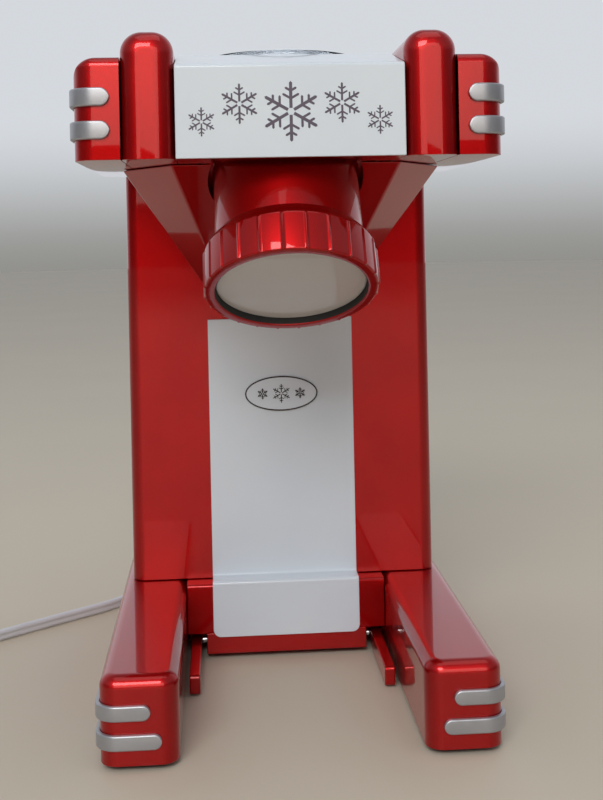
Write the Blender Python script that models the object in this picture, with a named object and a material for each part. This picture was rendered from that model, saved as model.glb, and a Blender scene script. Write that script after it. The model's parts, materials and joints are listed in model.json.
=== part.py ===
"""Countertop shaved ice machine: a red two-footed stand, an overhanging head with a tilted chute,
and the geared blade drive inside it.

All dimensions are in millimetres and are turned into metres when a mesh is made.
X is the width, the front faces -Y, and Z is up from the table. The last step moves everything along Y
so that the origin is under the middle of the machine, counted from the chute ring to the screw heads.
"""

from math import atan2, ceil, cos, pi, radians, sin, sqrt

import bmesh
import bpy
import numpy as np
from mathutils import Vector

METRES = 0.001
GAP = 0.3
WALL = 2.2
ORIGIN_SHIFT = 3.4

# Overall stand
FOOT_INNER = 60.0
FOOT_OUTER = 98.5
FOOT_FRONT = -127.0
BACK = 128.7
FOOT_BOTTOM = 2.5
FOOT_TOP = 45.2
FOOT_CORNER = 9.0
FOOT_EDGE = 5.0
LEDGE_FRONT = 18.0
LEDGE_BOTTOM = 16.0
BAR_HALF = 48.4
STRIP_TOP = 204.2

# Column
COLUMN_HALF = 92.85
COLUMN_FRONT = 30.9
COLUMN_SPLIT = 112.0
COLUMN_CORNER = 8.0

# Head
HEAD_BOTTOM = 293.0
RAIL_INNER = 56.5
RAIL_OUTER = 82.5
RAIL_FRONT = -126.5
RAIL_TOP = 355.4
WING_OUTER = 105.6
WING_FRONT = -123.0
WING_TOP = 343.1
WING_ROUND = 11.0
HEAD_REAR = 38.9
CAP_TOP = 350.0
PANEL_FRONT = -124.5
PANEL_BEND = 338.2
PANEL_BACK = -77.0

# Tilted chute: a point on the axis, and the tilt of the axis from vertical; heights run along the axis
RING_Y = -99.0
RING_Z = 230.0
TILT = radians(30.0)
RING_RADIUS = 44.2
RING_LOW = -3.9
RING_HIGH = 24.0
RING_BORE = 38.9
TUBE_RADIUS = 38.5
CHUTE_BORE = 36.0
CHIN_HOLE = 41.5

# Drive, as heights along the tilted axis and radii
PLATE_LOW = 70.3
PLATE_HIGH = 73.3
GEAR_LOW = 74.8
GEAR_HIGH = 80.4
CHAMBER_LOW = 82.2
MODULE = 1.25
DISC_TEETH = 64
IDLER_TEETH = 24
PINION_TEETH = 10
MESH_SLACK = 0.25
IDLER_AT = MODULE * (DISC_TEETH + IDLER_TEETH) / 2 + MESH_SLACK
PINION_AT = IDLER_AT + MODULE * (IDLER_TEETH + PINION_TEETH) / 2 + MESH_SLACK

# Lid and switch
LID_RADIUS = 45.0
LID_LOW = CAP_TOP + GAP
LID_HIGH = 353.0
SWITCH_Y = 21.0

# Tray arms
ARM_MIDDLE = 54.5
ARM_THICK = 6.0
ARM_FRONT = -39.0
PIVOT_Y = 28.0
PIVOT_Z = 9.4

# Cord
CORD_RADIUS = 3.6
COIL_MIDDLE = 41.0

RED = ((0.42, 0.008, 0.012), 0.16, 0.35)
WHITE = ((0.72, 0.76, 0.80), 0.25, 0.0)
SILVER = ((0.56, 0.57, 0.60), 0.35, 0.8)
CLEAR = ((0.90, 0.94, 0.96), 0.08, 0.0)
BLACK = ((0.02, 0.02, 0.022), 0.55, 0.0)
STEEL = ((0.62, 0.63, 0.65), 0.25, 1.0)
IVORY = ((0.80, 0.79, 0.74), 0.45, 0.0)
BRASS = ((0.75, 0.58, 0.28), 0.3, 1.0)
INK = ((0.11, 0.05, 0.08), 0.4, 0.0)


# ---------------------------------------------------------------- outlines

def arc(centre_x, centre_y, radius, start, end, segments):
    """Points on an arc, angles in degrees."""
    points = []
    for step in range(segments + 1):
        angle = radians(start + (end - start) * step / segments)
        points.append((centre_x + radius * cos(angle), centre_y + radius * sin(angle)))
    return points


def rounded_rect(x0, x1, y0, y1, radii, segments=4):
    """Counter-clockwise rectangle; radii are given from the low corner round to (x0, y1)."""
    corners = [(x0, y0, 1, 1, 180), (x1, y0, -1, 1, 270), (x1, y1, -1, -1, 0), (x0, y1, 1, -1, 90)]
    points = []
    for (x, y, dx, dy, start), radius in zip(corners, radii):
        radius = max(radius, 0.15)
        points += arc(x + dx * radius, y + dy * radius, radius, start, start + 90, segments)
    return points


def circle(radius, segments):
    angles = [2 * pi * i / segments for i in range(segments)]
    return [(radius * cos(angle), radius * sin(angle)) for angle in angles]


def gear_outline(teeth, phase):
    """Tapered teeth on a pitch circle; phase is the angle of the first tooth in degrees."""
    pitch_radius = MODULE * teeth / 2
    corners = ((-0.98, -1.45), (-0.42, 1.0), (0.42, 1.0), (0.98, -1.45))
    points = []
    for tooth in range(teeth):
        middle = radians(phase) + 2 * pi * tooth / teeth
        for side, rise in corners:
            radius = pitch_radius + rise
            angle = middle + side / pitch_radius
            points.append((radius * cos(angle), radius * sin(angle)))
    return points


# ---------------------------------------------------------------- solids

def place(axis, point, height):
    """Puts an outline point and a height along the named axis into X, Y, Z."""
    u, v = point
    return {"x": (height, u, v), "y": (u, height, v), "z": (u, v, height)}[axis]


def make_object(name, mesh_builder, smooth=35.0):
    """Turns a bmesh in millimetres into a named object in metres."""
    bmesh.ops.scale(mesh_builder, vec=(METRES,) * 3, verts=mesh_builder.verts)
    bmesh.ops.recalc_face_normals(mesh_builder, faces=mesh_builder.faces)
    mesh = bpy.data.meshes.new(name)
    mesh_builder.to_mesh(mesh)
    mesh_builder.free()
    mesh.shade_smooth()
    mesh.set_sharp_from_angle(angle=radians(smooth))
    obj = bpy.data.objects.new(name, mesh)
    bpy.context.scene.collection.objects.link(obj)
    return obj


def skin(name, loops, ring=False):
    """Bridges loops with equal point counts; the ends are capped unless the loops close on themselves."""
    builder = bmesh.new()
    rows = [[builder.verts.new(point) for point in loop] for loop in loops]
    count = len(rows[0])
    pairs = list(zip(rows, rows[1:]))
    if ring:
        pairs.append((rows[-1], rows[0]))
    for low, high in pairs:
        for i in range(count):
            j = (i + 1) % count
            builder.faces.new((low[i], low[j], high[j], high[i]))
    if not ring:
        builder.faces.new(rows[0])
        builder.faces.new(rows[-1])
    return make_object(name, builder)


def prism(name, outline, low, high, axis="z"):
    return skin(name, [[place(axis, p, h) for p in outline] for h in (low, high)])


def cup(name, outline, levels, axis="z", wall=WALL):
    """A hollow moulding, open at its first level; outline(inset, shrink) gives the section."""
    end = levels[-1][0]
    direction = 1 if end > levels[0][0] else -1
    floor_level = end - direction * wall
    inner = [(h, i) for h, i in levels if (floor_level - h) * direction > 0.05]
    last_inset = [i for h, i in levels if (floor_level - h) * direction >= -0.6][-1]
    inner.append((floor_level, last_inset))
    loops = [[place(axis, p, h) for p in outline(i, wall)] for h, i in reversed(inner)]
    loops += [[place(axis, p, h) for p in outline(i, 0.0)] for h, i in levels]
    return skin(name, loops)


def round_levels(rim, end, radius, segments=3):
    """Levels of a moulding from its rim to a closed end with a rounded edge."""
    direction = 1 if end > rim else -1
    levels = [(rim, 0.0)]
    for step in range(segments + 1):
        angle = pi / 2 * step / segments
        levels.append((end - direction * radius * (1 - sin(angle)), radius * (1 - cos(angle))))
    return levels


def turned(name, profile, segments=48):
    """A closed profile of (radius, height) points turned round Z."""
    builder = bmesh.new()
    rows = []
    for radius, height in profile:
        if radius < 1e-6:
            rows.append([builder.verts.new((0, 0, height))])
        else:
            rows.append([builder.verts.new((x, y, height)) for x, y in circle(radius, segments)])
    for low, high in zip(rows, rows[1:] + rows[:1]):
        if len(low) == 1 and len(high) == 1:
            continue
        for i in range(segments):
            j = (i + 1) % segments
            if len(low) == 1:
                builder.faces.new((low[0], high[j], high[i]))
            elif len(high) == 1:
                builder.faces.new((low[i], low[j], high[0]))
            else:
                builder.faces.new((low[i], low[j], high[j], high[i]))
    return make_object(name, builder)


def box(name, x, y, z):
    return prism(name, rounded_rect(x[0], x[1], y[0], y[1], (0,) * 4, 1)[::2], z[0], z[1])


def boolean(target, other, operation="DIFFERENCE"):
    """Cuts or joins with a helper solid that is itself never shown."""
    modifier = target.modifiers.new(operation.lower(), "BOOLEAN")
    modifier.operation = operation
    modifier.object = other
    other.hide_render = True
    other.display_type = "WIRE"
    other.name = "helper_" + other.name


def paint(obj, finish):
    colour, roughness, metallic = finish
    material = bpy.data.materials.new(obj.name)
    material.use_nodes = True
    shader = material.node_tree.nodes["Principled BSDF"]
    shader.inputs["Base Color"].default_value = (*colour, 1.0)
    shader.inputs["Roughness"].default_value = roughness
    shader.inputs["Metallic"].default_value = metallic
    if finish is CLEAR:
        shader.inputs["Transmission Weight"].default_value = 0.9
    obj.data.materials.append(material)
    return obj


def mirrored(point_list):
    return [(-x, y) for x, y in reversed(point_list)]


# ---------------------------------------------------------------- base

def foot_section(side):
    """Plan of one foot; the outline is mirrored for the left one."""
    def outline(inset, shrink):
        d = inset + shrink
        front = max(FOOT_CORNER - d, 0.4)
        points = rounded_rect(FOOT_INNER + d, FOOT_OUTER - d, FOOT_FRONT + d, BACK - d,
                              (front, front, max(6 - d, 0.4), max(6 - d, 0.4)))
        return points if side > 0 else mirrored(points)
    return outline


def make_foot(label, side):
    shell = cup(f"{label}_foot_shell", foot_section(side), round_levels(FOOT_BOTTOM, FOOT_TOP, FOOT_EDGE))
    paint(shell, RED)
    plate_outline = foot_section(side)(0.0, WALL + GAP)
    plate = prism(f"{label}_foot_plate", plate_outline, FOOT_BOTTOM, FOOT_BOTTOM + 2.4)
    paint(plate, BLACK)
    middle = side * (FOOT_INNER + FOOT_OUTER) / 2
    for place_name, y in (("front", -108.0), ("rear", 104.0)):
        profile = ((0, 0), (8.2, 0), (9, 0.8), (9, 2.2), (0, 2.2))
        pad = turned(f"{place_name}_{label}_rubber_foot", profile, 16)
        pad.location = Vector((middle, y, 0)) * METRES
        paint(pad, BLACK)


def crosspiece_section(inset, shrink):
    half = FOOT_INNER - GAP - shrink
    return rounded_rect(-half, half, LEDGE_FRONT + inset + shrink, BACK - shrink, (0.4, 0.4, 0.4, 0.4), 2)


def pan_section(inset, shrink):
    """T-shaped plan: a narrow front between the notches, and a wide rear."""
    front = LEDGE_FRONT + 0.6 + shrink
    back = BACK - 1.7 - shrink
    narrow = BAR_HALF - shrink
    wide = FOOT_INNER - 0.6 - shrink
    step = 46.0 + shrink
    return [(-narrow, front), (narrow, front), (narrow, step), (wide, step), (wide, back),
            (-wide, back), (-wide, step), (-narrow, step)]


def make_base():
    for label, side in (("left", -1), ("right", 1)):
        make_foot(label, side)
    crosspiece = cup("base_crosspiece", crosspiece_section, round_levels(LEDGE_BOTTOM, FOOT_TOP, 1.6, 3))
    paint(crosspiece, RED)
    pan = cup("base_pan", pan_section, [(LEDGE_BOTTOM - GAP, 0.0), (3.2, 0.0)])
    rod_hole = prism("rod_hole", circle(2.5, 20), -70, 70, "x")
    rod_hole.location = Vector((0, PIVOT_Y, PIVOT_Z)) * METRES
    boolean(pan, rod_hole)
    paint(pan, RED)


# ---------------------------------------------------------------- tray arms

def make_arms():
    """Two flat arms on one steel rod; the parent empty sits on the rod's axis."""
    pivot = bpy.data.objects.new("tray_arm_pivot", None)
    pivot.location = Vector((0, PIVOT_Y, PIVOT_Z)) * METRES
    bpy.context.scene.collection.objects.link(pivot)
    rod = prism("arm_rod", circle(2.1, 16), -BAR_HALF - 2.8, BAR_HALF + 2.8, "x")
    rod.parent = pivot
    paint(rod, STEEL)
    reach = ARM_FRONT - PIVOT_Y
    side_view = [(0.0, 2.9), (reach + 1.2, 2.6), (reach, 1.4), (reach, -7.2), (reach + 1.2, -8.4),
                 (-14.0, -8.0), (-3.0, -5.0)]
    hub = arc(0, 0, 4.9, -105, 80, 8)
    half = ARM_THICK / 2
    for label, side in (("left", -1), ("right", 1)):
        middle = side * ARM_MIDDLE
        arm = prism(f"{label}_tray_arm", side_view + hub, middle - half, middle + half, "x")
        arm.parent = pivot
        paint(arm, RED)


# ---------------------------------------------------------------- column

def column_channel():
    """Plan of the front shell: a channel that is open at the back."""
    outer_right = arc(COLUMN_HALF - COLUMN_CORNER, COLUMN_FRONT + COLUMN_CORNER, COLUMN_CORNER, -90, 0, 5)
    inner_radius = COLUMN_CORNER - WALL
    inner_right = arc(COLUMN_HALF - COLUMN_CORNER, COLUMN_FRONT + COLUMN_CORNER, inner_radius, 0, -90, 5)
    half = outer_right + [(COLUMN_HALF, COLUMN_SPLIT), (COLUMN_HALF - WALL, COLUMN_SPLIT)] + inner_right
    return half + [(-x, y) for x, y in reversed(half)]


def cover_section(inset, shrink):
    d = inset + shrink
    low = FOOT_TOP + 0.4 + d
    radius = max(10 - d, 0.5)
    return rounded_rect(-COLUMN_HALF + d, COLUMN_HALF - d, low, CAP_TOP - d, (0.5, 0.5, radius, radius), 4)


def cap_section(inset, shrink):
    d = inset + shrink
    half = COLUMN_HALF - d
    return rounded_rect(-half, half, HEAD_REAR + 0.4 + shrink, COLUMN_SPLIT - shrink, (0.5,) * 4, 1)


def make_column():
    shell = prism("column_front_shell", column_channel(), FOOT_TOP + 0.4, HEAD_BOTTOM - GAP)
    boolean(shell, box("motor_opening", (-40, 40), (20, 45), (228, 300)))
    paint(shell, RED)

    cover = cup("column_rear_cover", cover_section, round_levels(COLUMN_SPLIT + GAP, BACK, 7.0), "y")
    for row in range(6):
        z = 232.0 + row * 9.0
        slot = box(f"vent_{row}", (-34, 34), (120, 135), (z, z + 4.0))
        boolean(cover, slot)
    cord_hole = prism("cord_hole", circle(6.4, 24), 120, 140, "y")
    cord_hole.location = Vector((CORD_EXIT[0], 0, CORD_EXIT[2])) * METRES
    boolean(cover, cord_hole)
    for z in (70.0, 320.0):
        recess = prism(f"screw_hole_{z:.0f}", circle(2.3, 16), 120, 140, "y")
        recess.location = Vector((0, 0, z)) * METRES
        boolean(cover, recess)
    paint(cover, RED)

    cap = cup("column_top_cap", cap_section, round_levels(HEAD_BOTTOM + GAP, CAP_TOP, 10.0))
    boolean(cap, box("head_opening", (-76, 76), (30, 45), (285, 344)))
    boolean(cap, box("rear_opening", (-82, 82), (105, 118), (285, 338)))
    paint(cap, RED)

    for label, z in (("lower", 70.0), ("upper", 320.0)):
        profile = ((0, -9), (1.9, -9), (1.9, 0.3), (4.2, 0.3), (4.2, 1.2), (3.2, 2.2), (0, 2.2))
        screw = turned(f"{label}_cover_screw", profile, 12)
        screw.rotation_euler = (-pi / 2, 0, 0)
        screw.location = Vector((0, BACK, z)) * METRES
        paint(screw, STEEL)


def strip_side_view():
    """Side view of the white strip: down the column, over the ledge and down the crosspiece."""
    face = COLUMN_FRONT - GAP
    front = LEDGE_FRONT - GAP
    top = FOOT_TOP + GAP
    thick = 1.9
    outer = [(face - thick, STRIP_TOP), (face - thick, top + thick + 1.0), (face - thick - 1.0, top + thick)]
    bend = arc(front + 0.6, top - 0.6, thick + 0.6, 90, 180, 4)
    inner = [(front - thick, 14.0), (front, 14.0), (front, top), (face, top), (face, STRIP_TOP)]
    return outer + bend + inner


def make_strip():
    strip = prism("column_front_strip", strip_side_view(), -44.2, 44.2, "x")
    builder = bmesh.new()
    builder.from_mesh(strip.data)
    corners = []
    for edge in builder.edges:
        a, b = (v.co / METRES for v in edge.verts)
        along_y = abs(a.x - b.x) < 0.01 and abs(a.z - b.z) < 0.01
        if along_y and abs(abs(a.x) - 44.2) < 0.01 and abs(a.z - 14.0) < 0.01:
            corners.append(edge)
    bmesh.ops.bevel(builder, geom=corners, offset=4.5 * METRES, segments=5, profile=0.5, affect="EDGES")
    builder.to_mesh(strip.data)
    builder.free()
    paint(strip, WHITE)
    badge_outline = [(22.4 * x, 10.8 * y + 158.0) for x, y in circle(1.0, 32)]
    badge_back = COLUMN_FRONT - GAP - 1.9 - GAP
    badge = prism("front_badge", badge_outline, badge_back - 0.9, badge_back, "y")
    paint(badge, INK)


# ---------------------------------------------------------------- chin under the head

CHIN_TOP = HEAD_BOTTOM - GAP
CHIN_BACK = COLUMN_FRONT - GAP
CHIN_G = (60.5, -79.0, HEAD_BOTTOM)
CHIN_B = (89.0, -33.0, HEAD_BOTTOM)
CHIN_D = (91.5, COLUMN_FRONT, HEAD_BOTTOM)
CHIN_E = (27.0, COLUMN_FRONT, 204.7)
CHIN_C = (41.0, COLUMN_FRONT, 218.5)


def plane_through(a, b, c, inward):
    """Plane as (normal, offset) with the normal pointing away from the inward point."""
    a, b, c = (np.array(p, float) for p in (a, b, c))
    normal = np.cross(b - a, c - a)
    normal /= np.linalg.norm(normal)
    if normal @ (np.array(inward) - a) > 0:
        normal = -normal
    return normal, normal @ a


def meet(*planes):
    normals = np.array([normal for normal, _ in planes])
    return tuple(np.linalg.solve(normals, np.array([offset for _, offset in planes])))


def chin_solid(name, wall, overrun):
    """The faceted corbel; wall moves its facets inward, overrun moves its top and back outward."""
    inside = (0.0, 10.0, 285.0)

    def moved(plane, distance):
        return plane[0], plane[1] + distance

    front = moved(plane_through((-CHIN_G[0], *CHIN_G[1:]), CHIN_G, CHIN_E, inside), -wall)
    side = moved(plane_through(CHIN_G, CHIN_B, CHIN_E, inside), -wall)
    outer = moved(plane_through(CHIN_B, CHIN_D, CHIN_C, inside), -wall)
    top = (np.array((0.0, 0.0, 1.0)), CHIN_TOP + overrun)
    back = (np.array((0.0, 1.0, 0.0)), CHIN_BACK + overrun)
    right = [meet(top, front, side), meet(top, side, outer), meet(top, outer, back),
             meet(back, side, outer), meet(back, front, side)]
    left = [(-x, y, z) for x, y, z in right]
    builder = bmesh.new()
    r = [builder.verts.new(p) for p in right]
    m = [builder.verts.new(p) for p in left]
    faces = [(m[0], r[0], r[4], m[4]), (r[0], r[1], r[3], r[4]), (r[1], r[2], r[3]),
             (m[0], m[4], m[3], m[1]), (m[1], m[3], m[2]),
             (r[0], m[0], m[1], m[2], r[2], r[1]), (r[2], m[2], m[3], m[4], r[4], r[3])]
    for face in faces:
        builder.faces.new(face)
    return make_object(name, builder)


def chute_cutter(name, radius, low, high):
    cutter = prism(name, circle(radius, 48), low, high)
    cutter.parent = TILTED
    return cutter


def make_chin():
    chin = chin_solid("chin_housing", 0.0, 0.0)
    boolean(chin, chin_solid("chin_hollow", WALL, 6.0))
    boolean(chin, chute_cutter("chin_hole", CHIN_HOLE, 30, 95))
    paint(chin, RED)
    floor = box("head_floor", (-RAIL_INNER + GAP, RAIL_INNER - GAP), (PANEL_FRONT + 2.8, -60),
                (HEAD_BOTTOM, HEAD_BOTTOM + WALL))
    boolean(floor, chute_cutter("floor_hole", CHIN_HOLE, 40, 120))
    boolean(floor, box("drive_opening", (-48, 48), (-82, -50), (290, 300)))
    paint(floor, RED)


# ---------------------------------------------------------------- head

def rail_section(x0, x1):
    """Front view of a rail: straight sides, a domed top and a flat bottom."""
    def outline(inset, shrink):
        d = inset + shrink
        radius = max(10.5 - d * 0.8, 0.6)
        half = (x1 - x0) / 2 - d
        radius = min(radius, half - 0.05)
        return rounded_rect(x0 + d, x1 - d, HEAD_BOTTOM + shrink, RAIL_TOP - d, (0.3, 0.3, radius, radius))
    return outline


def wing_section(inset, shrink):
    """Side view of a wing; its bottom stays flat where the other edges are rounded."""
    d = inset + shrink
    radius = max(5 - d, 0.4)
    return rounded_rect(WING_FRONT + d, HEAD_REAR - d, HEAD_BOTTOM + shrink, WING_TOP - d,
                        (0.3, 0.3, radius, radius), 3)


def make_head_sides():
    for label, side in (("left", -1), ("right", 1)):
        x0, x1 = sorted((side * RAIL_INNER, side * RAIL_OUTER))
        levels = round_levels(HEAD_REAR, RAIL_FRONT, 9.5, 4)
        rail = cup(f"{label}_rail", rail_section(x0, x1), levels, "y")
        paint(rail, RED)
        rim = side * (RAIL_OUTER + GAP)
        wing = cup(f"{label}_wing", wing_section, round_levels(rim, side * WING_OUTER, WING_ROUND, 4), "x")
        paint(wing, RED)


def panel_side_view():
    """Bent sheet: the upright front face, a tight bend and the slope to the top cover."""
    thick = 2.4
    slope = atan2(CAP_TOP - PANEL_BEND, PANEL_BACK - PANEL_FRONT)
    bend = arc(PANEL_FRONT + 2.0, PANEL_BEND - 1.2, 2.0, 180, 90 + slope * 180 / pi, 4)
    inner = [(PANEL_BACK, CAP_TOP - thick), (PANEL_FRONT + thick, PANEL_BEND - thick + 0.8)]
    return [(PANEL_FRONT, HEAD_BOTTOM)] + bend + [(PANEL_BACK, CAP_TOP)] + inner + [
        (PANEL_FRONT + thick, HEAD_BOTTOM)]


def make_head_covers():
    half = RAIL_INNER - GAP
    panel = prism("head_front_panel", panel_side_view(), -half, half, "x")
    paint(panel, WHITE)
    cover = box("head_top_cover", (-half, half), (PANEL_BACK + GAP, HEAD_REAR), (CAP_TOP - WALL, CAP_TOP))
    boolean(cover, chute_cutter("lid_opening", CHUTE_BORE + 0.3, 100, 170))
    pin_hole = prism("switch_opening", circle(2.4, 20), 330, 360)
    pin_hole.location = Vector((0, SWITCH_Y, 0)) * METRES
    boolean(cover, pin_hole)
    paint(cover, WHITE)


# ---------------------------------------------------------------- trim strips

def wrap_path(start_x, corner_x, front_y, radius, end_y):
    """Plan path from the front face round the outer corner and back along the side."""
    path = [(start_x + (corner_x - radius - start_x) * t / 3, front_y) for t in range(3)]
    path += arc(corner_x - radius, front_y + radius, radius, -90, 0, 4)
    side = [(corner_x, front_y + radius + (end_y - front_y - radius) * t / 3) for t in range(1, 4)]
    return path + side


def wrap_strip(name, path, side, z_low, z_high, thick=1.9):
    """A rounded-end band that stands off the housing along a plan path."""
    radius = (z_high - z_low) / 2
    middle = (z_high + z_low) / 2
    dense = []
    for (x0, y0), (x1, y1) in zip(path, path[1:]):
        length = sqrt((x1 - x0) ** 2 + (y1 - y0) ** 2)
        steps = max(1, ceil(length / 12.0))
        dense += [(x0 + (x1 - x0) * t / steps, y0 + (y1 - y0) * t / steps) for t in range(steps)]
    dense.append(path[-1])
    start, second, before_end, end = (np.array(path[i]) for i in (0, 1, -2, -1))
    inward_start = (second - start) / np.linalg.norm(second - start)
    inward_end = (before_end - end) / np.linalg.norm(before_end - end)
    ends = [radius * (1 - cos(pi / 2 * k / 4)) for k in range(4)]
    first = [tuple(start + inward_start * e) for e in ends]
    last = [tuple(end + inward_end * e) for e in ends]
    kept = [p for p in dense if np.linalg.norm(np.array(p) - start) > radius
            and np.linalg.norm(np.array(p) - end) > radius]
    points = first + kept + list(reversed(last))
    loops = []
    for index, point in enumerate(points):
        before = np.array(points[max(index - 1, 0)])
        after = np.array(points[min(index + 1, len(points) - 1)])
        tangent = (after - before) / np.linalg.norm(after - before)
        outward = np.array((tangent[1], -tangent[0]))
        reach = min(np.linalg.norm(np.array(point) - start), np.linalg.norm(np.array(point) - end), radius)
        half = max(sqrt(max(radius ** 2 - (radius - reach) ** 2, 0.0)), 0.6)
        chamfer = min(0.6, half * 0.5)
        section = [(GAP, -half), (GAP + thick - chamfer, -half), (GAP + thick, -half + chamfer),
                   (GAP + thick, half - chamfer), (GAP + thick - chamfer, half), (GAP, half)]
        loops.append([(side * (point[0] + outward[0] * d), point[1] + outward[1] * d, middle + h)
                      for d, h in section])
    return paint(skin(name, loops), SILVER)


def make_trim():
    for label, side in (("left", -1), ("right", 1)):
        for level, (low, high) in (("upper", (319.0, 328.0)), ("lower", (303.0, 312.0))):
            path = wrap_path(87.6, WING_OUTER, WING_FRONT, WING_ROUND, -66.0)
            wrap_strip(f"{label}_wing_{level}_trim", path, side, low, high)
        for level, inner, (low, high) in (("upper", 73.6, (24.5, 32.0)), ("lower", 68.3, (10.5, 18.0))):
            path = wrap_path(inner, FOOT_OUTER, FOOT_FRONT, FOOT_CORNER, -66.0)
            wrap_strip(f"{label}_foot_{level}_trim", path, side, low, high)


# ---------------------------------------------------------------- chute and drive, on the tilted axis

def in_tilt(obj, finish, at=0.0, parent=None):
    """Hangs an object on the tilted frame, moved back along it by at."""
    obj.parent = parent or TILTED
    obj.location = Vector((0, at, 0)) * METRES
    return paint(obj, finish)


def make_mouth():
    """Ribbed ring round the chute's end, and the disc that closes it."""
    ribs = 24
    per_rib = 3
    count = ribs * per_rib

    def loop(radius, height, rib=0.0):
        points = []
        for i in range(count):
            raised = 0.0 if i % per_rib == 2 else rib
            angle = 2 * pi * (i - 0.45 * (i % per_rib == 1)) / count
            points.append(((radius + raised) * cos(angle), (radius + raised) * sin(angle), height))
        return points

    loops = [loop(RING_BORE, RING_HIGH), loop(RING_BORE, RING_LOW), loop(RING_RADIUS - 1.0, RING_LOW),
             loop(RING_RADIUS, RING_LOW + 1.0, 1.1), loop(RING_RADIUS, RING_HIGH - 5.0, 1.1),
             loop(RING_RADIUS, RING_HIGH - 4.0), loop(40.8, RING_HIGH)]
    in_tilt(skin("mouth_ring", loops, ring=True), RED)
    profile = ((0, -1.3), (37.6, -1.3), (38.5, -0.4), (38.5, 8.0), (35.6, 8.0), (35.6, 15.0), (33.6, 15.0),
               (33.6, 1.3), (0, 1.3))
    in_tilt(turned("mouth_disc", profile, 40), WHITE)


def make_chute():
    profile = ((CHUTE_BORE, 8.6), (TUBE_RADIUS, 8.6), (TUBE_RADIUS, 67.5), (45.5, 67.5),
               (45.5, PLATE_LOW - GAP), (CHUTE_BORE, PLATE_LOW - GAP))
    in_tilt(turned("chute_tube", profile, 40), RED)

    right = arc(0, 0, 46.5, -90, 25, 10) + arc(0, PINION_AT, 26.0, 25, 90, 6)
    outline = right + [(-x, y) for x, y in reversed(right[1:-1])]
    plate = prism("gear_plate", outline, PLATE_LOW, PLATE_HIGH)
    hole = chute_cutter("plate_hole", CHUTE_BORE, 60, 80)
    boolean(plate, hole)
    in_tilt(plate, STEEL)

    chamber_profile = ((CHUTE_BORE, CHAMBER_LOW), (CHUTE_BORE, 175.0), (38.3, 175.0),
                       (38.3, CHAMBER_LOW + 2), (44.5, CHAMBER_LOW + 2), (44.5, PLATE_HIGH + GAP),
                       (42.2, PLATE_HIGH + GAP), (42.2, CHAMBER_LOW))
    chamber = turned("ice_chamber", chamber_profile, 40)
    in_tilt(chamber, WHITE)
    above = box("above_chamber", (-80, 80), (-140, 80), (CAP_TOP - WALL - GAP, 420))
    boolean(chamber, above)
    window = box("idler_window", (-21, 21), (20, 60), (70, CHAMBER_LOW - 0.4))
    window.parent = TILTED
    boolean(chamber, window)


def make_gears():
    disc = prism("blade_disc", gear_outline(DISC_TEETH, 90.0), GEAR_LOW, GEAR_HIGH)
    for label, side in (("a", -1), ("b", 1)):
        y0, y1 = sorted((side * 1.0, side * 7.5))
        x0, x1 = sorted((side * 7.0, side * 33.0))
        slot = box(f"slot_{label}", (x0, x1), (y0, y1), (70, 85))
        slot.parent = TILTED
        boolean(disc, slot)
        y2, y3 = sorted((side * (1.0 + GAP), side * 5.6))
        heights = (GEAR_HIGH - 0.9, GEAR_HIGH + 0.6)
        blade = box(f"shaving_blade_{label}", (x0 + GAP, x1 - GAP), (y2, y3), heights)
        in_tilt(blade, STEEL)
    in_tilt(disc, IVORY)

    idler = prism("idler_gear", gear_outline(IDLER_TEETH, -90 + 180 / IDLER_TEETH), GEAR_LOW, GEAR_HIGH)
    bore = prism("idler_bore", circle(2.8, 24), 60, 90)
    bore.parent = TILTED
    bore.location = Vector((0, IDLER_AT, 0)) * METRES
    boolean(idler, bore)
    in_tilt(idler, IVORY, IDLER_AT)
    pin_profile = ((0, PLATE_HIGH + GAP), (2.4, PLATE_HIGH + GAP), (2.4, GEAR_HIGH + GAP),
                   (4.2, GEAR_HIGH + GAP), (4.2, GEAR_HIGH + 1.0), (0, GEAR_HIGH + 1.0))
    in_tilt(turned("idler_pin", pin_profile, 12), STEEL, IDLER_AT)

    pinion = prism("motor_pinion", gear_outline(PINION_TEETH, -90.0), GEAR_LOW, GEAR_HIGH)
    shaft = prism("motor_shaft", circle(1.6, 20), GEAR_HIGH - 2, 94.0)
    shaft.parent = TILTED
    shaft.location = Vector((0, PINION_AT, 0)) * METRES
    boolean(pinion, shaft, "UNION")
    in_tilt(pinion, BRASS, PINION_AT)


def make_motor():
    profile = ((2.1, 84.2), (6.0, 84.2), (6.0, 86.0), (17.0, 86.0), (18.0, 87.0), (18.0, 129.0),
               (17.0, 130.0), (0, 130.0), (0, 96.0), (2.1, 96.0))
    in_tilt(turned("drive_motor", profile, 24), STEEL, PINION_AT)
    half = 24.0
    bridge = box("motor_bracket", (-half, half), (-19, 19), (PLATE_HIGH + GAP, 83.8))
    boolean(bridge, in_tilt(box("bridge_span", (-21.6, 21.6), (-30, 30), (60, 81.8)), STEEL, PINION_AT))
    hole = prism("shaft_hole", circle(3.6, 24), 60, 90)
    boolean(bridge, in_tilt(hole, STEEL, PINION_AT))
    in_tilt(bridge, STEEL, PINION_AT)


# ---------------------------------------------------------------- lid, plunger and switch

def axis_point(along):
    """World point on the tilted axis, in millimetres."""
    return (0.0, RING_Y + along * sin(TILT), RING_Z + along * cos(TILT))


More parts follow.
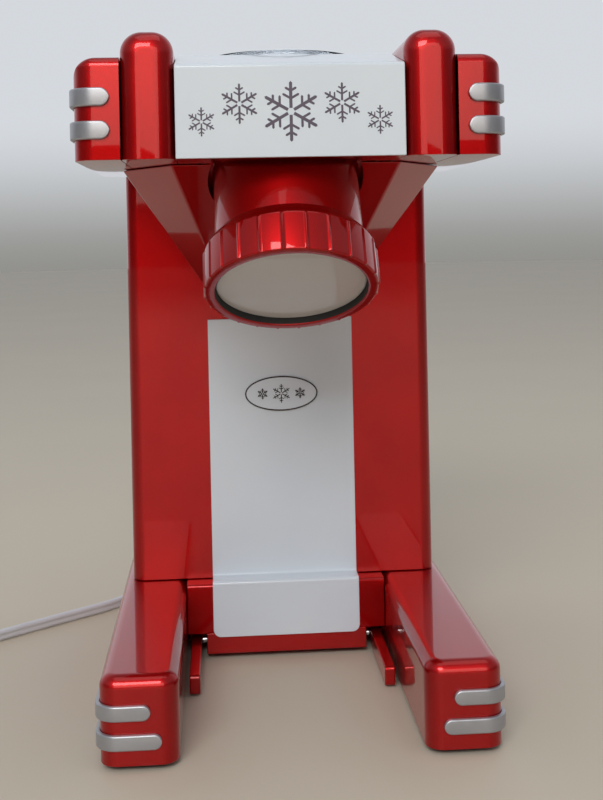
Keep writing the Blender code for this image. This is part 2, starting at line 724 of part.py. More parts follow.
def make_lid():
    centre = axis_point((LID_LOW - RING_Z) / cos(TILT))
    profile = ((0, LID_LOW), (LID_RADIUS - 0.6, LID_LOW), (LID_RADIUS, LID_LOW + 0.6),
               (LID_RADIUS, LID_HIGH - 0.8), (LID_RADIUS - 0.8, LID_HIGH), (0, LID_HIGH))
    lid = turned("clear_lid", profile, 40)
    lid.location = Vector((0, centre[1], 0)) * METRES
    stem = prism("plunger_stem", circle(10.0, 20), 92.0, 160.0)
    stem.parent = TILTED
    boolean(stem, box("above_lid", (-30, 30), (-60, 60), (LID_HIGH - 1.0, 400)))
    boolean(lid, stem, "UNION")
    tab = prism("lid_tab", rounded_rect(-7, 7, 8, 27, (1, 1, 5, 5)), LID_LOW, LID_HIGH - 0.4)
    boolean(lid, tab, "UNION")
    paint(lid, CLEAR)
    foot_profile = ((0, 84.6), (34.2, 84.6), (35.4, 85.8), (35.4, 90.6), (34.4, 91.6), (0, 91.6))
    in_tilt(turned("plunger_foot", foot_profile, 32), CLEAR)


def make_switch():
    body = prism("switch_body", rounded_rect(-8, 8, 14, 28, (1,) * 4, 2), 324, 335)
    bore = prism("switch_bore", circle(2.2, 20), 328.5, 340)
    bore.location = Vector((0, SWITCH_Y, 0)) * METRES
    boolean(body, bore)
    paint(body, BLACK)
    profile = ((0, 331.5), (1.8, 331.5), (1.8, 348.6), (0.9, 349.6), (0, 349.6))
    pin = turned("switch_pin", profile, 12)
    pin.location = Vector((0, SWITCH_Y, 0)) * METRES
    paint(pin, WHITE)


# ---------------------------------------------------------------- cord

CORD_EXIT = (-62.0, 128.7, 58.0)
CORD_ROUTE = (
    (-62.0, 153.0, 58.0), (-62.0, 162.0, 57.0), (-63.0, 173.0, 50.0), (-66.0, 180.0, 36.0),
    (-72.0, 183.0, 20.0), (-80.0, 179.0, 8.5), (-88.0, 169.0, 4.3), (-95.0, 155.0, 4.0),
    (-101.0, 142.0, 4.0), (-108.5, 129.5, 4.0), (-118.0, 119.3, 4.0), (-131.0, 108.5, 4.0),
    (-146.0, 96.5, 4.0), (-161.0, 84.2, 4.0), (-177.0, 71.0, 4.0), (-191.7, 58.9, 4.0),
)
COIL_CENTRE = (-241.0, 76.3)
OUTER_TURN = 44.8


def smooth_route(points, spacing):
    """Evenly spaced points on a Catmull-Rom curve through the route."""
    data = [np.array(p, float) for p in points]
    padded = [2 * data[0] - data[1]] + data + [2 * data[-1] - data[-2]]
    fine = []
    for a, b, c, d in zip(padded, padded[1:], padded[2:], padded[3:]):
        for step in range(12):
            t = step / 12
            fine.append(0.5 * (2 * b + (c - a) * t + (2 * a - 5 * b + 4 * c - d) * t ** 2
                               + (3 * b - a - 3 * c + d) * t ** 3))
    fine.append(data[-1])
    lengths = np.cumsum([0.0] + [np.linalg.norm(q - p) for p, q in zip(fine, fine[1:])])
    count = int(lengths[-1] // spacing) + 1
    wanted = np.linspace(0, lengths[-1], count)
    fine = np.array(fine)
    return [tuple(np.interp(w, lengths, fine[:, axis]) for axis in range(3)) for w in wanted]


def make_cord():
    curve = bpy.data.curves.new("power_cord", "CURVE")
    curve.dimensions = "3D"
    curve.bevel_depth = CORD_RADIUS * METRES
    curve.bevel_resolution = 2
    curve.use_fill_caps = True
    points = smooth_route(CORD_ROUTE, 9.0)
    spline = curve.splines.new("POLY")
    spline.points.add(len(points) - 1)
    for slot, point in zip(spline.points, points):
        slot.co = (*(Vector(point) * METRES), 1.0)
    cord = bpy.data.objects.new("power_cord", curve)
    bpy.context.scene.collection.objects.link(cord)
    paint(cord, WHITE)

    inner = COIL_MIDDLE - 8.0
    outer = COIL_MIDDLE + 8.0
    profile = ((inner, 1.0), (inner + 1.0, 0.0), (outer - 1.0, 0.0), (outer, 1.0), (outer, 15.0),
               (outer - 1.0, 16.0), (inner + 1.0, 16.0), (inner, 15.0))
    coil = turned("cord_coil", profile, 28)
    coil.location = Vector((*COIL_CENTRE, 0)) * METRES
    paint(coil, WHITE)

    relief_profile = ((0, -3.0), (6.0, -3.0), (6.0, 0.3), (7.2, 0.3), (7.2, 2.6), (5.6, 4.0),
                      (4.6, 23.9), (0, 23.9))
    relief = turned("strain_relief", relief_profile, 16)
    relief.rotation_euler = (-pi / 2, 0, 0)
    relief.location = Vector(CORD_EXIT) * METRES
    paint(relief, WHITE)


def make_plug():
    """Two-blade plug lying beside the coil, pointing away from the machine."""
    base = bpy.data.objects.new("plug_place", None)
    base.location = Vector((COIL_CENTRE[0] - OUTER_TURN, COIL_CENTRE[1] + 30.0, 8.6)) * METRES
    base.rotation_euler = (0, 0, pi / 2)
    bpy.context.scene.collection.objects.link(base)

    def section(half_width, half_height, x):
        corner = min(half_width, half_height) * 0.45
        outline = rounded_rect(-half_width, half_width, -half_height, half_height, (corner,) * 4, 3)
        return [place("x", p, x) for p in outline]

    loops = [section(4.6, 3.4, 0.0), section(5.4, 4.0, 8.0), section(9.5, 7.0, 13.0),
             section(11.5, 8.2, 26.0), section(12.5, 8.4, 31.0)]
    plug = skin("plug_body", loops)
    plug.parent = base
    paint(plug, WHITE)
    for label, side in (("left", -1), ("right", 1)):
        y0, y1 = side * 6.35 - 0.75, side * 6.35 + 0.75
        blade = box(f"plug_blade_{label}", (31.0 + GAP, 48.0), (y0, y1), (-3.1, 3.1))
        blade.parent = base
        paint(blade, BRASS)


# ---------------------------------------------------------------- assembly

for old in list(bpy.data.objects):
    bpy.data.objects.remove(old, do_unlink=True)

TILTED = bpy.data.objects.new("tilted_axis", None)
TILTED.location = Vector((0, RING_Y, RING_Z)) * METRES
TILTED.rotation_euler = (-TILT, 0, 0)
bpy.context.scene.collection.objects.link(TILTED)

make_base()
make_arms()
make_column()
make_strip()
make_chin()
make_head_sides()
make_head_covers()
make_trim()
make_mouth()
make_chute()
make_gears()
make_motor()
make_lid()
make_switch()
make_cord()
make_plug()

for loose in bpy.data.objects:
    if loose.parent is None:
        loose.location.y += ORIGIN_SHIFT * METRES
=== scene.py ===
"""Looks of the countertop shaved ice machine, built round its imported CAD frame.

Lengths are in millimetres and are turned into metres when a mesh is made. Places come from the
frame: the boxes of the CAD nodes and the joints of the record. Every visible moulding is made
again here with rounded edges and finer curves, and stands for its CAD node.
"""

import json
from math import atan2, cos, pi, radians, sin, sqrt

import bmesh
import bpy
import numpy as np
from mathutils import Matrix, Vector

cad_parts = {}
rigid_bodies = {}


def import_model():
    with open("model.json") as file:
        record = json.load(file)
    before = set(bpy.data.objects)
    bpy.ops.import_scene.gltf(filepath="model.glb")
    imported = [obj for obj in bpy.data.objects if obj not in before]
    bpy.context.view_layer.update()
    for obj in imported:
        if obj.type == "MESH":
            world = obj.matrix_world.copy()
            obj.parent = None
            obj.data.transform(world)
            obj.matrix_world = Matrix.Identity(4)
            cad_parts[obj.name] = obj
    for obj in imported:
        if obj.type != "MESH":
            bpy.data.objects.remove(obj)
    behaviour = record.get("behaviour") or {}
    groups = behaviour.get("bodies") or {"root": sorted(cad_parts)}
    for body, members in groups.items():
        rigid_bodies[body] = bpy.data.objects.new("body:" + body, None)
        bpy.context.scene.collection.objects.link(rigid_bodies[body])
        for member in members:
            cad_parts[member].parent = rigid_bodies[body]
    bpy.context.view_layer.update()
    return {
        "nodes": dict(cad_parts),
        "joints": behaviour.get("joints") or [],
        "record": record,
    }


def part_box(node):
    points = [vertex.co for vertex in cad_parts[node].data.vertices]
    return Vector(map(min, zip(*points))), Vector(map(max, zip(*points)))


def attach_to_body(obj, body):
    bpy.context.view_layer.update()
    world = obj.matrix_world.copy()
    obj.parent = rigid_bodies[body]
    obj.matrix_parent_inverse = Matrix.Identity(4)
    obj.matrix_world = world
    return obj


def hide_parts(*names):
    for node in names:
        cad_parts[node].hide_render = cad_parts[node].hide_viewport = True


for old in list(bpy.data.objects):
    bpy.data.objects.remove(old, do_unlink=True)

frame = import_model()

MM = 0.001
GAP = 0.3
WALL = 2.2
FINE = 10
ROUND = 128

RECORD = frame["record"]
BODY_OF = {n: body for body, nodes in RECORD["behaviour"]["bodies"].items() for n in nodes}
SLOT_OF = {part["node"]: part["material_slot"] for part in RECORD["subparts"]}
JOINTS = {joint["name"]: joint for joint in frame["joints"]}


def limits(node):
    """Lowest and highest corner of a CAD node in millimetres."""
    low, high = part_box(node)
    return low / MM, high / MM


# ---------------------------------------------------------------- camera

def make_camera():
    """Level camera, a little left of the middle, turned right and rolled as the view is."""
    yaw, roll = radians(3.977), radians(1.187)
    forward = Vector((sin(yaw), cos(yaw), 0))
    right = Vector((cos(yaw), -sin(yaw), 0))
    up = Vector((0, 0, 1))
    data = bpy.data.cameras.new("view_camera")
    data.lens = 53.25
    data.sensor_width = 36.0
    data.shift_y = -0.208
    camera = bpy.data.objects.new("view_camera", data)
    bpy.context.scene.collection.objects.link(camera)
    across = right * cos(roll) - up * sin(roll)
    above = right * sin(roll) + up * cos(roll)
    matrix = Matrix((across, above, -forward)).transposed().to_4x4()
    position = Vector((-36.0, -694.1, 255.7))
    matrix.translation = position * MM
    camera.matrix_world = matrix
    bpy.context.scene.camera = camera


# ---------------------------------------------------------------- materials

def material(name, colour, roughness, metallic=0.0, coat=0.0, second=None, mottle=60.0, grain=900.0,
             bump=0.02, spread=0.05, transmission=0.0, stretch=(1, 1, 1), flakes=0.0, specular=0.5,
             ior=1.5):
    """A Principled material whose colour, roughness and relief vary with noise in object space."""
    made = bpy.data.materials.new(name)
    made.use_nodes = True
    tree = made.node_tree
    nodes, links = tree.nodes, tree.links
    shader = nodes["Principled BSDF"]
    shader.inputs["Metallic"].default_value = metallic
    shader.inputs["Coat Weight"].default_value = coat
    shader.inputs["Coat Roughness"].default_value = 0.03
    shader.inputs["Coat IOR"].default_value = 1.37
    shader.inputs["Specular IOR Level"].default_value = specular
    shader.inputs["IOR"].default_value = ior
    shader.inputs["Transmission Weight"].default_value = transmission
    place = nodes.new("ShaderNodeTexCoord")
    scale = nodes.new("ShaderNodeMapping")
    scale.inputs["Scale"].default_value = stretch
    links.new(place.outputs["Object"], scale.inputs["Vector"])

    cloud = nodes.new("ShaderNodeTexNoise")
    cloud.inputs["Scale"].default_value = mottle
    cloud.inputs["Detail"].default_value = 4.0
    links.new(scale.outputs["Vector"], cloud.inputs["Vector"])
    ramp = nodes.new("ShaderNodeValToRGB")
    ramp.color_ramp.elements[0].position = 0.3
    ramp.color_ramp.elements[1].position = 0.7
    ramp.color_ramp.elements[0].color = (*colour, 1)
    ramp.color_ramp.elements[1].color = (*(second or [c * 1.08 for c in colour]), 1)
    links.new(cloud.outputs["Fac"], ramp.inputs["Fac"])
    links.new(ramp.outputs["Color"], shader.inputs["Base Color"])

    speckle = nodes.new("ShaderNodeTexNoise")
    speckle.inputs["Scale"].default_value = grain
    speckle.inputs["Detail"].default_value = 2.0
    links.new(scale.outputs["Vector"], speckle.inputs["Vector"])
    rough = nodes.new("ShaderNodeMapRange")
    rough.inputs["To Min"].default_value = max(roughness - spread, 0.0)
    rough.inputs["To Max"].default_value = roughness + spread
    links.new(cloud.outputs["Fac"], rough.inputs["Value"])
    links.new(rough.outputs["Result"], shader.inputs["Roughness"])
    relief = nodes.new("ShaderNodeBump")
    relief.inputs["Strength"].default_value = bump
    relief.inputs["Distance"].default_value = 0.0004
    links.new(speckle.outputs["Fac"], relief.inputs["Height"])
    if flakes:
        cells = nodes.new("ShaderNodeTexVoronoi")
        cells.inputs["Scale"].default_value = 2600.0
        links.new(scale.outputs["Vector"], cells.inputs["Vector"])
        sparkle = nodes.new("ShaderNodeBump")
        sparkle.inputs["Strength"].default_value = flakes
        sparkle.inputs["Distance"].default_value = 0.0001
        links.new(cells.outputs["Color"], sparkle.inputs["Height"])
        links.new(relief.outputs["Normal"], sparkle.inputs["Normal"])
        links.new(sparkle.outputs["Normal"], shader.inputs["Normal"])
    else:
        links.new(relief.outputs["Normal"], shader.inputs["Normal"])
    return made


SLOTS = {
    "red_shell": material("candy_red", (0.37, 0.003, 0.004), 0.38, metallic=0.8, coat=1.0, specular=0.0,
                          second=(0.42, 0.005, 0.005), mottle=25, bump=0.0, flakes=0.35),
    "white_panel": material("white_moulding", (0.665, 0.715, 0.765), 0.34, coat=0.9, specular=0.25,
                            second=(0.695, 0.745, 0.785), mottle=18, grain=1500, bump=0.03),
    "silver_trim": material("satin_silver", (0.37, 0.37, 0.395), 0.36, metallic=0.7,
                            second=(0.41, 0.41, 0.435), mottle=90, grain=3000, bump=0.05),
    "black_rubber": material("black_rubber", (0.02, 0.02, 0.02), 0.75, grain=2200, bump=0.25),
    "black_plastic": material("black_plastic", (0.02, 0.02, 0.022), 0.5, grain=2500, bump=0.2),
    "steel": material("bright_steel", (0.60, 0.61, 0.63), 0.24, metallic=1.0, stretch=(1, 12, 12),
                      mottle=200, grain=1200, bump=0.06),
    "brass": material("bright_brass", (0.72, 0.52, 0.22), 0.28, metallic=1.0, mottle=150, grain=1600,
                      bump=0.04),
    "ivory_gears": material("ivory_acetal", (0.76, 0.73, 0.63), 0.42, grain=1400, bump=0.05),
    "clear_plastic": material("clear_plastic", (0.95, 0.97, 1.0), 0.04, spread=0.02, transmission=1.0,
                              second=(0.97, 0.985, 1.0), grain=500, bump=0.01, ior=1.12),
    "white_cord": material("white_vinyl", (0.60, 0.62, 0.65), 0.42, second=(0.65, 0.67, 0.70),
                           mottle=40, grain=1800, bump=0.06),
    "badge_ink": material("brown_ink", (0.022, 0.012, 0.008), 0.45, second=(0.030, 0.018, 0.012),
                          specular=0.3, mottle=300, grain=2500, bump=0.05),
}
PLUM_INK = material("plum_ink", (0.070, 0.050, 0.080), 0.42, second=(0.085, 0.062, 0.095), mottle=300,
                    grain=2500, bump=0.05)
# Darker, warmer copy of the white moulding for the chute's disc: painted shade under the head, with
# painted warm bounce light from the floor.
DISC_PAINTED_SHADE = material("disc_painted_shade", (0.54, 0.515, 0.50), 0.36, coat=0.9, specular=0.25,
                      second=(0.56, 0.535, 0.52), mottle=18, grain=1500, bump=0.03)


# ---------------------------------------------------------------- outlines

def arc(centre_x, centre_y, radius, start, end, segments):
    """Points on an arc, angles in degrees."""
    angles = [radians(start + (end - start) * step / segments) for step in range(segments + 1)]
    return [(centre_x + radius * cos(a), centre_y + radius * sin(a)) for a in angles]


def rounded_rect(x0, x1, y0, y1, radii, segments=FINE):
    """Counter-clockwise rectangle; radii are given from the low corner round to (x0, y1)."""
    corners = [(x0, y0, 1, 1, 180), (x1, y0, -1, 1, 270), (x1, y1, -1, -1, 0), (x0, y1, 1, -1, 90)]
    points = []
    for (x, y, dx, dy, start), radius in zip(corners, radii):
        radius = max(radius, 0.1)
        points += arc(x + dx * radius, y + dy * radius, radius, start, start + 90, segments)
    return points


def circle(radius, segments):
    """Counter-clockwise circle round the origin."""
    angles = [2 * pi * i / segments for i in range(segments)]
    return [(radius * cos(a), radius * sin(a)) for a in angles]


# ---------------------------------------------------------------- meshes

def place(axis, point, height):
    """A point of an outline, set at a height along the axis that the outline faces."""
    u, v = point
    return {"x": (height, u, v), "y": (u, height, v), "z": (u, v, height)}[axis]


def make_object(name, builder, smooth=32.0):
    """Turns a bmesh in millimetres into an object in metres, smooth except at sharp edges."""
    bmesh.ops.scale(builder, vec=(MM,) * 3, verts=builder.verts)
    bmesh.ops.recalc_face_normals(builder, faces=builder.faces)
    mesh = bpy.data.meshes.new(name)
    builder.to_mesh(mesh)
    builder.free()
    mesh.shade_smooth()
    mesh.set_sharp_from_angle(angle=radians(smooth))
    obj = bpy.data.objects.new(name, mesh)
    bpy.context.scene.collection.objects.link(obj)
    return obj


def skin(name, loops, ring=False):
    """Bridges loops of equal point count; the ends are capped unless the loops form a ring."""
    builder = bmesh.new()
    rows = [[builder.verts.new(point) for point in loop] for loop in loops]
    count = len(rows[0])
    pairs = list(zip(rows, rows[1:])) + ([(rows[-1], rows[0])] if ring else [])
    for low, high in pairs:
        for i in range(count):
            j = (i + 1) % count
            builder.faces.new((low[i], low[j], high[j], high[i]))
    if not ring:
        builder.faces.new(rows[0])
        builder.faces.new(rows[-1])
    return make_object(name, builder)


def prism(name, outline, low, high, axis="z"):
    """A straight solid with one outline from low to high along the axis."""
    return skin(name, [[place(axis, p, h) for p in outline] for h in (low, high)])


def cup(name, outline, levels, axis="z", wall=WALL):
    """A hollow moulding, open at its first level; outline(inset, shrink) gives the section."""
    end = levels[-1][0]
    direction = 1 if end > levels[0][0] else -1
    floor_level = end - direction * wall
    inner = [(h, i) for h, i in levels if (floor_level - h) * direction > 0.05]
    last_inset = [i for h, i in levels if (floor_level - h) * direction >= -0.6][-1]
    inner.append((floor_level, last_inset))
    loops = [[place(axis, p, h) for p in outline(i, wall)] for h, i in reversed(inner)]
    loops += [[place(axis, p, h) for p in outline(i, 0.0)] for h, i in levels]
    return skin(name, loops)


def round_levels(rim, end, radius, segments=FINE):
    """Levels of a moulding from its rim to a closed end with a rounded edge."""
    direction = 1 if end > rim else -1
    levels = [(rim, 0.0)]
    for step in range(segments + 1):
        angle = pi / 2 * step / segments
        levels.append((end - direction * radius * (1 - sin(angle)), radius * (1 - cos(angle))))
    return levels


def turned(name, profile, segments=96):
    """A closed profile of (radius, height) points turned round Z."""
    builder = bmesh.new()
    rows = []
    for radius, height in profile:
        points = [(0.0, 0.0)] if radius < 1e-6 else circle(radius, segments)
        rows.append([builder.verts.new((x, y, height)) for x, y in points])
    for low, high in zip(rows, rows[1:] + rows[:1]):
        for i in range(segments if len(low) + len(high) > 2 else 0):
            j = (i + 1) % segments
            if len(low) == 1:
                builder.faces.new((low[0], high[j], high[i]))
            elif len(high) == 1:
                builder.faces.new((low[i], low[j], high[0]))
            else:
                builder.faces.new((low[i], low[j], high[j], high[i]))
    return make_object(name, builder)


def box(name, x, y, z):
    """A plain block, each side given as (low, high)."""
    return prism(name, [(x[0], y[0]), (x[1], y[0]), (x[1], y[1]), (x[0], y[1])], z[0], z[1])


def bake(obj):
    """Applies an object's modifiers to its mesh."""
    bpy.context.view_layer.update()
    graph = bpy.context.evaluated_depsgraph_get()
    mesh = bpy.data.meshes.new_from_object(obj.evaluated_get(graph))
    obj.modifiers.clear()
    obj.data = mesh
    return obj


def boolean(target, other, operation="DIFFERENCE"):
    """Cuts or joins with a helper solid, which is then removed."""
    modifier = target.modifiers.new(operation.lower(), "BOOLEAN")
    modifier.operation = operation
    modifier.object = other
    bake(target)
    bpy.data.objects.remove(other, do_unlink=True)
    return target


def soften(obj, width, segments=3, angle=32.0):
    """Rounds the sharp edges and keeps the flats flat in the shading."""
    bevel = obj.modifiers.new("edges", "BEVEL")
    bevel.width = width * MM
    bevel.segments = segments
    bevel.limit_method = "ANGLE"
    bevel.angle_limit = radians(angle)
    bevel.use_clamp_overlap = True
    bake(obj)
    obj.data.shade_smooth()
    weighted = obj.modifiers.new("flats", "WEIGHTED_NORMAL")
    weighted.weight = 80
    weighted.keep_sharp = False
    return bake(obj)


def show(obj, *nodes, look=None):
    """The piece stands for its CAD nodes, moves with their body and takes their finish."""
    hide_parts(*nodes)
    return attach(obj, nodes[0], look=look)


def attach(obj, node, finish=None, look=None):
    """The piece moves with a CAD node's body and takes a finish; a look varies the material."""
    slot = finish or SLOT_OF[node]
    obj.data.materials.clear()
    obj.data.materials.append(look or SLOTS[slot])
    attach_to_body(obj, BODY_OF[node])
    return obj


# ---------------------------------------------------------------- cord

CORD_WIDTH = 7.2
CORD_THICK = 3.8
CORD_ROUTE = (
    (-0.0620, 0.1564, 0.0580), (-0.0620, 0.1654, 0.0570), (-0.0630, 0.1764, 0.0500),
    (-0.0660, 0.1834, 0.0360), (-0.0720, 0.1864, 0.0200), (-0.0800, 0.1824, 0.0085),
    (-0.0880, 0.1724, 0.0043), (-0.0950, 0.1584, 0.0040), (-0.1010, 0.1454, 0.0040),
    (-0.1085, 0.1329, 0.0040), (-0.1180, 0.1227, 0.0040), (-0.1310, 0.1119, 0.0040),
    (-0.1460, 0.0999, 0.0040), (-0.1610, 0.0876, 0.0040), (-0.1770, 0.0744, 0.0040),
    (-0.1917, 0.0623, 0.0040),
)
OUTER_TURN = 44.8
INNER_TURN = 37.3
LOW_LAYER = 4.0
HIGH_LAYER = 11.7
JOIN_ANGLE = -50.5
TURNS = 2.36
TIE_ANGLE = -104.5


def ease(value, start, end):
    """0 before start, 1 after end, and smooth between."""
    t = min(max((value - start) / (end - start), 0.0), 1.0)
    return t * t * (3 - 2 * t)


def coil_point(turn, centre):
    """Clockwise from the join: one outer turn, one inner turn, then out again on the top layer."""
    radius = OUTER_TURN + (INNER_TURN - OUTER_TURN) * (ease(turn, 0.78, 1.0) - ease(turn, 2.0, 2.3))
    height = LOW_LAYER + (HIGH_LAYER - LOW_LAYER) * ease(turn, 1.5, 1.84)
    angle = radians(JOIN_ANGLE - 360.0 * turn)
    return (centre.x + radius * cos(angle), centre.y + radius * sin(angle), height)


def smooth_route(points, spacing):
    """Evenly spaced points on a Catmull-Rom curve through the route."""
    data = [np.array(p, float) for p in points]
    padded = [2 * data[0] - data[1]] + data + [2 * data[-1] - data[-2]]
    fine = []
    for a, b, c, d in zip(padded, padded[1:], padded[2:], padded[3:]):
        for step in range(12):
            t = step / 12
            fine.append(0.5 * (2 * b + (c - a) * t + (2 * a - 5 * b + 4 * c - d) * t ** 2
                               + (3 * b - a - 3 * c + d) * t ** 3))
    fine.append(data[-1])
    lengths = np.cumsum([0.0] + [np.linalg.norm(q - p) for p, q in zip(fine, fine[1:])])
    wanted = np.linspace(0, lengths[-1], int(lengths[-1] // spacing) + 1)
    fine = np.array(fine)
    return [np.array([np.interp(w, lengths, fine[:, axis]) for axis in range(3)]) for w in wanted]


def twin_section():
    """Two round cores side by side with a groove between them."""
    core = CORD_THICK / 2
    offset = CORD_WIDTH / 2 - core
    top = arc(0, offset, core, -38, 218, 12)
    bottom = arc(0, -offset, core, 142, 398, 12)
    return top + bottom


def sweep(name, path, section):
    """Carries a (side, up) section along a path, upright where the path is level."""
    tangents = []
    for i, point in enumerate(path):
        step = path[min(i + 1, len(path) - 1)] - path[max(i - 1, 0)]
        tangents.append(step / np.linalg.norm(step))
    ups = [None] * len(path)
    up = np.array((0.0, 0.0, 1.0))
    for i in reversed(range(len(path))):
        up = up - tangents[i] * (up @ tangents[i])
        up /= np.linalg.norm(up)
        ups[i] = up
    loops = []
    for point, tangent, up in zip(path, tangents, ups):
        side = np.cross(tangent, up)
        loops.append([tuple(point + side * s + up * u) for s, u in section])
    return skin(name, loops)


def make_cord():
    """Twin lead from the exit to the turns put away behind, and its tail up to the plug."""
    low, high = limits("cord_coil")
    centre = (low + high) / 2
    route = [np.array(p) / MM for p in CORD_ROUTE]
    steps = 90
    turns = [np.array(coil_point(TURNS * i / steps, centre)) for i in range(steps + 1)]
    plug_low, _ = limits("plug_body")
    tail_start = turns[-1]
    plug_height = 8.8
    tail_end = np.array((tail_start[0], plug_low.y - 0.4, plug_height))
    tail = [tail_start + (tail_end - tail_start) * np.array((1, t, ease(t, 0, 1)))
            for t in (0.33, 0.66, 1.0)]
    path = smooth_route(route + turns + tail, 2.0)
    cord = sweep("flat_cord", path, twin_section())
    cord.data.shade_smooth()
    show(cord, "power_cord", "cord_coil")
    return cord, [tuple(p * MM) for p in path], centre


def make_tie(centre):
    """Flat band that holds the turns together."""
    middle = (OUTER_TURN + INNER_TURN) / 2
    half = (OUTER_TURN - INNER_TURN) / 2 + CORD_THICK / 2 + 0.5
    band = 0.35
    outline = rounded_rect(middle - half, middle + half, 0.1, 15.8, (1.8,) * 4, 6)
    inner = rounded_rect(middle - half + band, middle + half - band, 0.35, 15.4, (1.5,) * 4, 6)
    width = 2.2
    loops = [[(x, y, z) for x, z in points] for points, y in
             ((outline, -width), (outline, width), (inner, width), (inner, -width))]
    tie = skin("cord_tie", loops, ring=True)
    turn = Matrix.Rotation(radians(TIE_ANGLE), 4, "Z")
    tie.data.transform(Matrix.Translation(Vector((centre.x, centre.y, 0)) * MM) @ turn)
    return attach(tie, "cord_coil", "black_plastic")


def make_relief():
    """Tapered boot with flex rings where the cord leaves the cover."""
    low, high = limits("strain_relief")
    middle = (low + high) / 2
    start = high.y - 23.9
    profile = [(0, start - 3.0), (6.0, start - 3.0), (6.0, start + 0.3), (7.1, start + 0.4),
               (7.2, start + 2.2), (6.2, start + 3.2)]
    rings, pitch, taper = 6, 3.0, 0.22
    for ring in range(rings):
        y = start + 4.4 + ring * pitch
        radius = 5.7 - taper * ring
        profile += [(radius, y), (radius, y + 1.5), (radius - 0.8, y + 1.8), (radius - 0.8, y + 2.7)]
    profile += [(4.5, high.y - 0.6), (4.2, high.y), (0, high.y)]
    relief = turned("strain_relief_boot", profile, 48)
    lie_back = Matrix.Rotation(-pi / 2, 4, "X")
    relief.data.transform(Matrix.Translation((middle.x * MM, 0, middle.z * MM)) @ lie_back)
    return show(soften(relief, 0.25, 2), "strain_relief")


def make_plug():
    """Two-blade plug with a waisted grip, on the end of the cord."""
    low, high = limits("plug_body")
    middle = (low + high) / 2

    def section(half_width, half_height, y):
        corner = min(half_width, half_height) * 0.62
        outline = rounded_rect(middle.x - half_width, middle.x + half_width, middle.z - half_height,
                               middle.z + half_height, (corner,) * 4, 8)
        return [(x, y, z) for x, z in outline]

    stations = ((0.0, 4.5, 3.3), (1.0, 4.9, 3.7), (8.0, 5.4, 4.0), (11.0, 7.4, 5.4), (13.5, 9.5, 7.0),
                (17.0, 10.6, 7.4), (20.0, 10.2, 7.1), (23.0, 10.6, 7.4), (26.0, 11.5, 8.1),
                (29.6, 12.4, 8.3), (31.0, 11.9, 7.9))
    plug = skin("plug_grip", [section(w, h, low.y + y) for y, w, h in stations])
    show(soften(plug, 0.4, 2, 50), "plug_body")
    blades = []
    for label in ("left", "right"):
        node = f"plug_blade_{label}"
        a, b = limits(node)
        blade = box(f"{node}_metal", (a.x, b.x), (a.y - 0.2, b.y), (a.z, b.z))
        hole = prism(f"{node}_hole", circle(1.6, 24), a.x - 2, b.x + 2, "x")
        hole.data.transform(Matrix.Translation(Vector((0, b.y - 5.0, (a.z + b.z) / 2)) * MM))
        blades.append(show(soften(boolean(blade, hole), 0.3, 2), node))
    return [plug] + blades


make_camera()
cord, cord_path, coil_centre = make_cord()
relief_boot = make_relief()
plug_pieces = make_plug()
cord_tie = make_tie(coil_centre)
relief_low, relief_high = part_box("strain_relief")


# ---------------------------------------------------------------- base

def foot_outline(low, high):
    """Section of a foot: round in front, less round behind, and even all the way up."""
    def outline(inset, shrink):
        d = inset + shrink
        front, back = max(9.0 - d, 0.3), max(6.0 - d, 0.3)
        return rounded_rect(low.x + d, high.x - d, low.y + d, high.y - d, (front, front, back, back))
    return outline


def make_feet():
    """Two hollow feet, each with a bottom plate, screw recesses and two rubber pads."""
    for label in ("left", "right"):
        low, high = limits(f"{label}_foot_shell")
        shell = cup(f"{label}_foot_moulding", foot_outline(low, high), round_levels(low.z, high.z, 6.2))
        show(soften(shell, 0.35, 2, 50), f"{label}_foot_shell")
        low, high = limits(f"{label}_foot_plate")
        outline = rounded_rect(low.x, high.x, low.y, high.y, (6.5, 6.5, 3.5, 3.5))
        plate = prism(f"{label}_foot_bottom", outline, low.z, high.z)
        for y in (-70.0, 75.0):
            outline = [(x + (low.x + high.x) / 2, v + y) for x, v in circle(2.6, 24)]
            boolean(plate, prism("recess", outline, 0, 3.6))
        show(soften(plate, 0.25, 2), f"{label}_foot_plate")
        for end in ("front", "rear"):
            node = f"{end}_{label}_rubber_foot"
            low, high = limits(node)
            profile = ([(0, 0.4), (5.6, 0.4), (6.0, 0.0)] + arc(8.0, 0.9, 0.9, -90, 0, 4)
                       + [(8.9, high.z), (0, high.z)])
            pad = turned(f"{node}_pad", profile, 48)
            middle = (low + high) / 2
            pad.data.transform(Matrix.Translation(Vector((middle.x, middle.y, 0)) * MM))
            show(pad, node)


def make_crosspiece():
    """Bar between the feet, and the lower pan in front with a notch at each end for the arms."""
    low, high = limits("base_crosspiece")

    def outline(inset, shrink):
        return rounded_rect(low.x + shrink, high.x - shrink, low.y + inset + shrink, high.y - shrink,
                            (0.5,) * 4, 2)

    piece = cup("crosspiece_moulding", outline, round_levels(low.z, high.z, 1.6))
    show(piece, "base_crosspiece")

    low, high = limits("base_pan")
    narrow_half = 48.4
    notch_depth = 27.4

    def plan(inset, shrink):
        narrow, wide, step = narrow_half - shrink, high.x - shrink, low.y + notch_depth + shrink
        front, back = low.y + shrink, high.y - shrink
        return [(-narrow, front), (narrow, front), (narrow, step), (wide, step), (wide, back),
                (-wide, back), (-wide, step), (-narrow, step)]

    pan = cup("pan_moulding", plan, [(high.z, 0.0), (low.z, 0.0)])
    pivot = Vector(JOINTS["arm_swing"]["pos_m"])
    hole_radius = 2.5
    rod_hole = prism("rod_hole", circle(hole_radius, 48), -70, 70, "x")
    rod_hole.data.transform(Matrix.Translation((0, pivot.y, pivot.z)))
    boolean(pan, rod_hole)
    show(soften(pan, 0.5, 3), "base_pan")


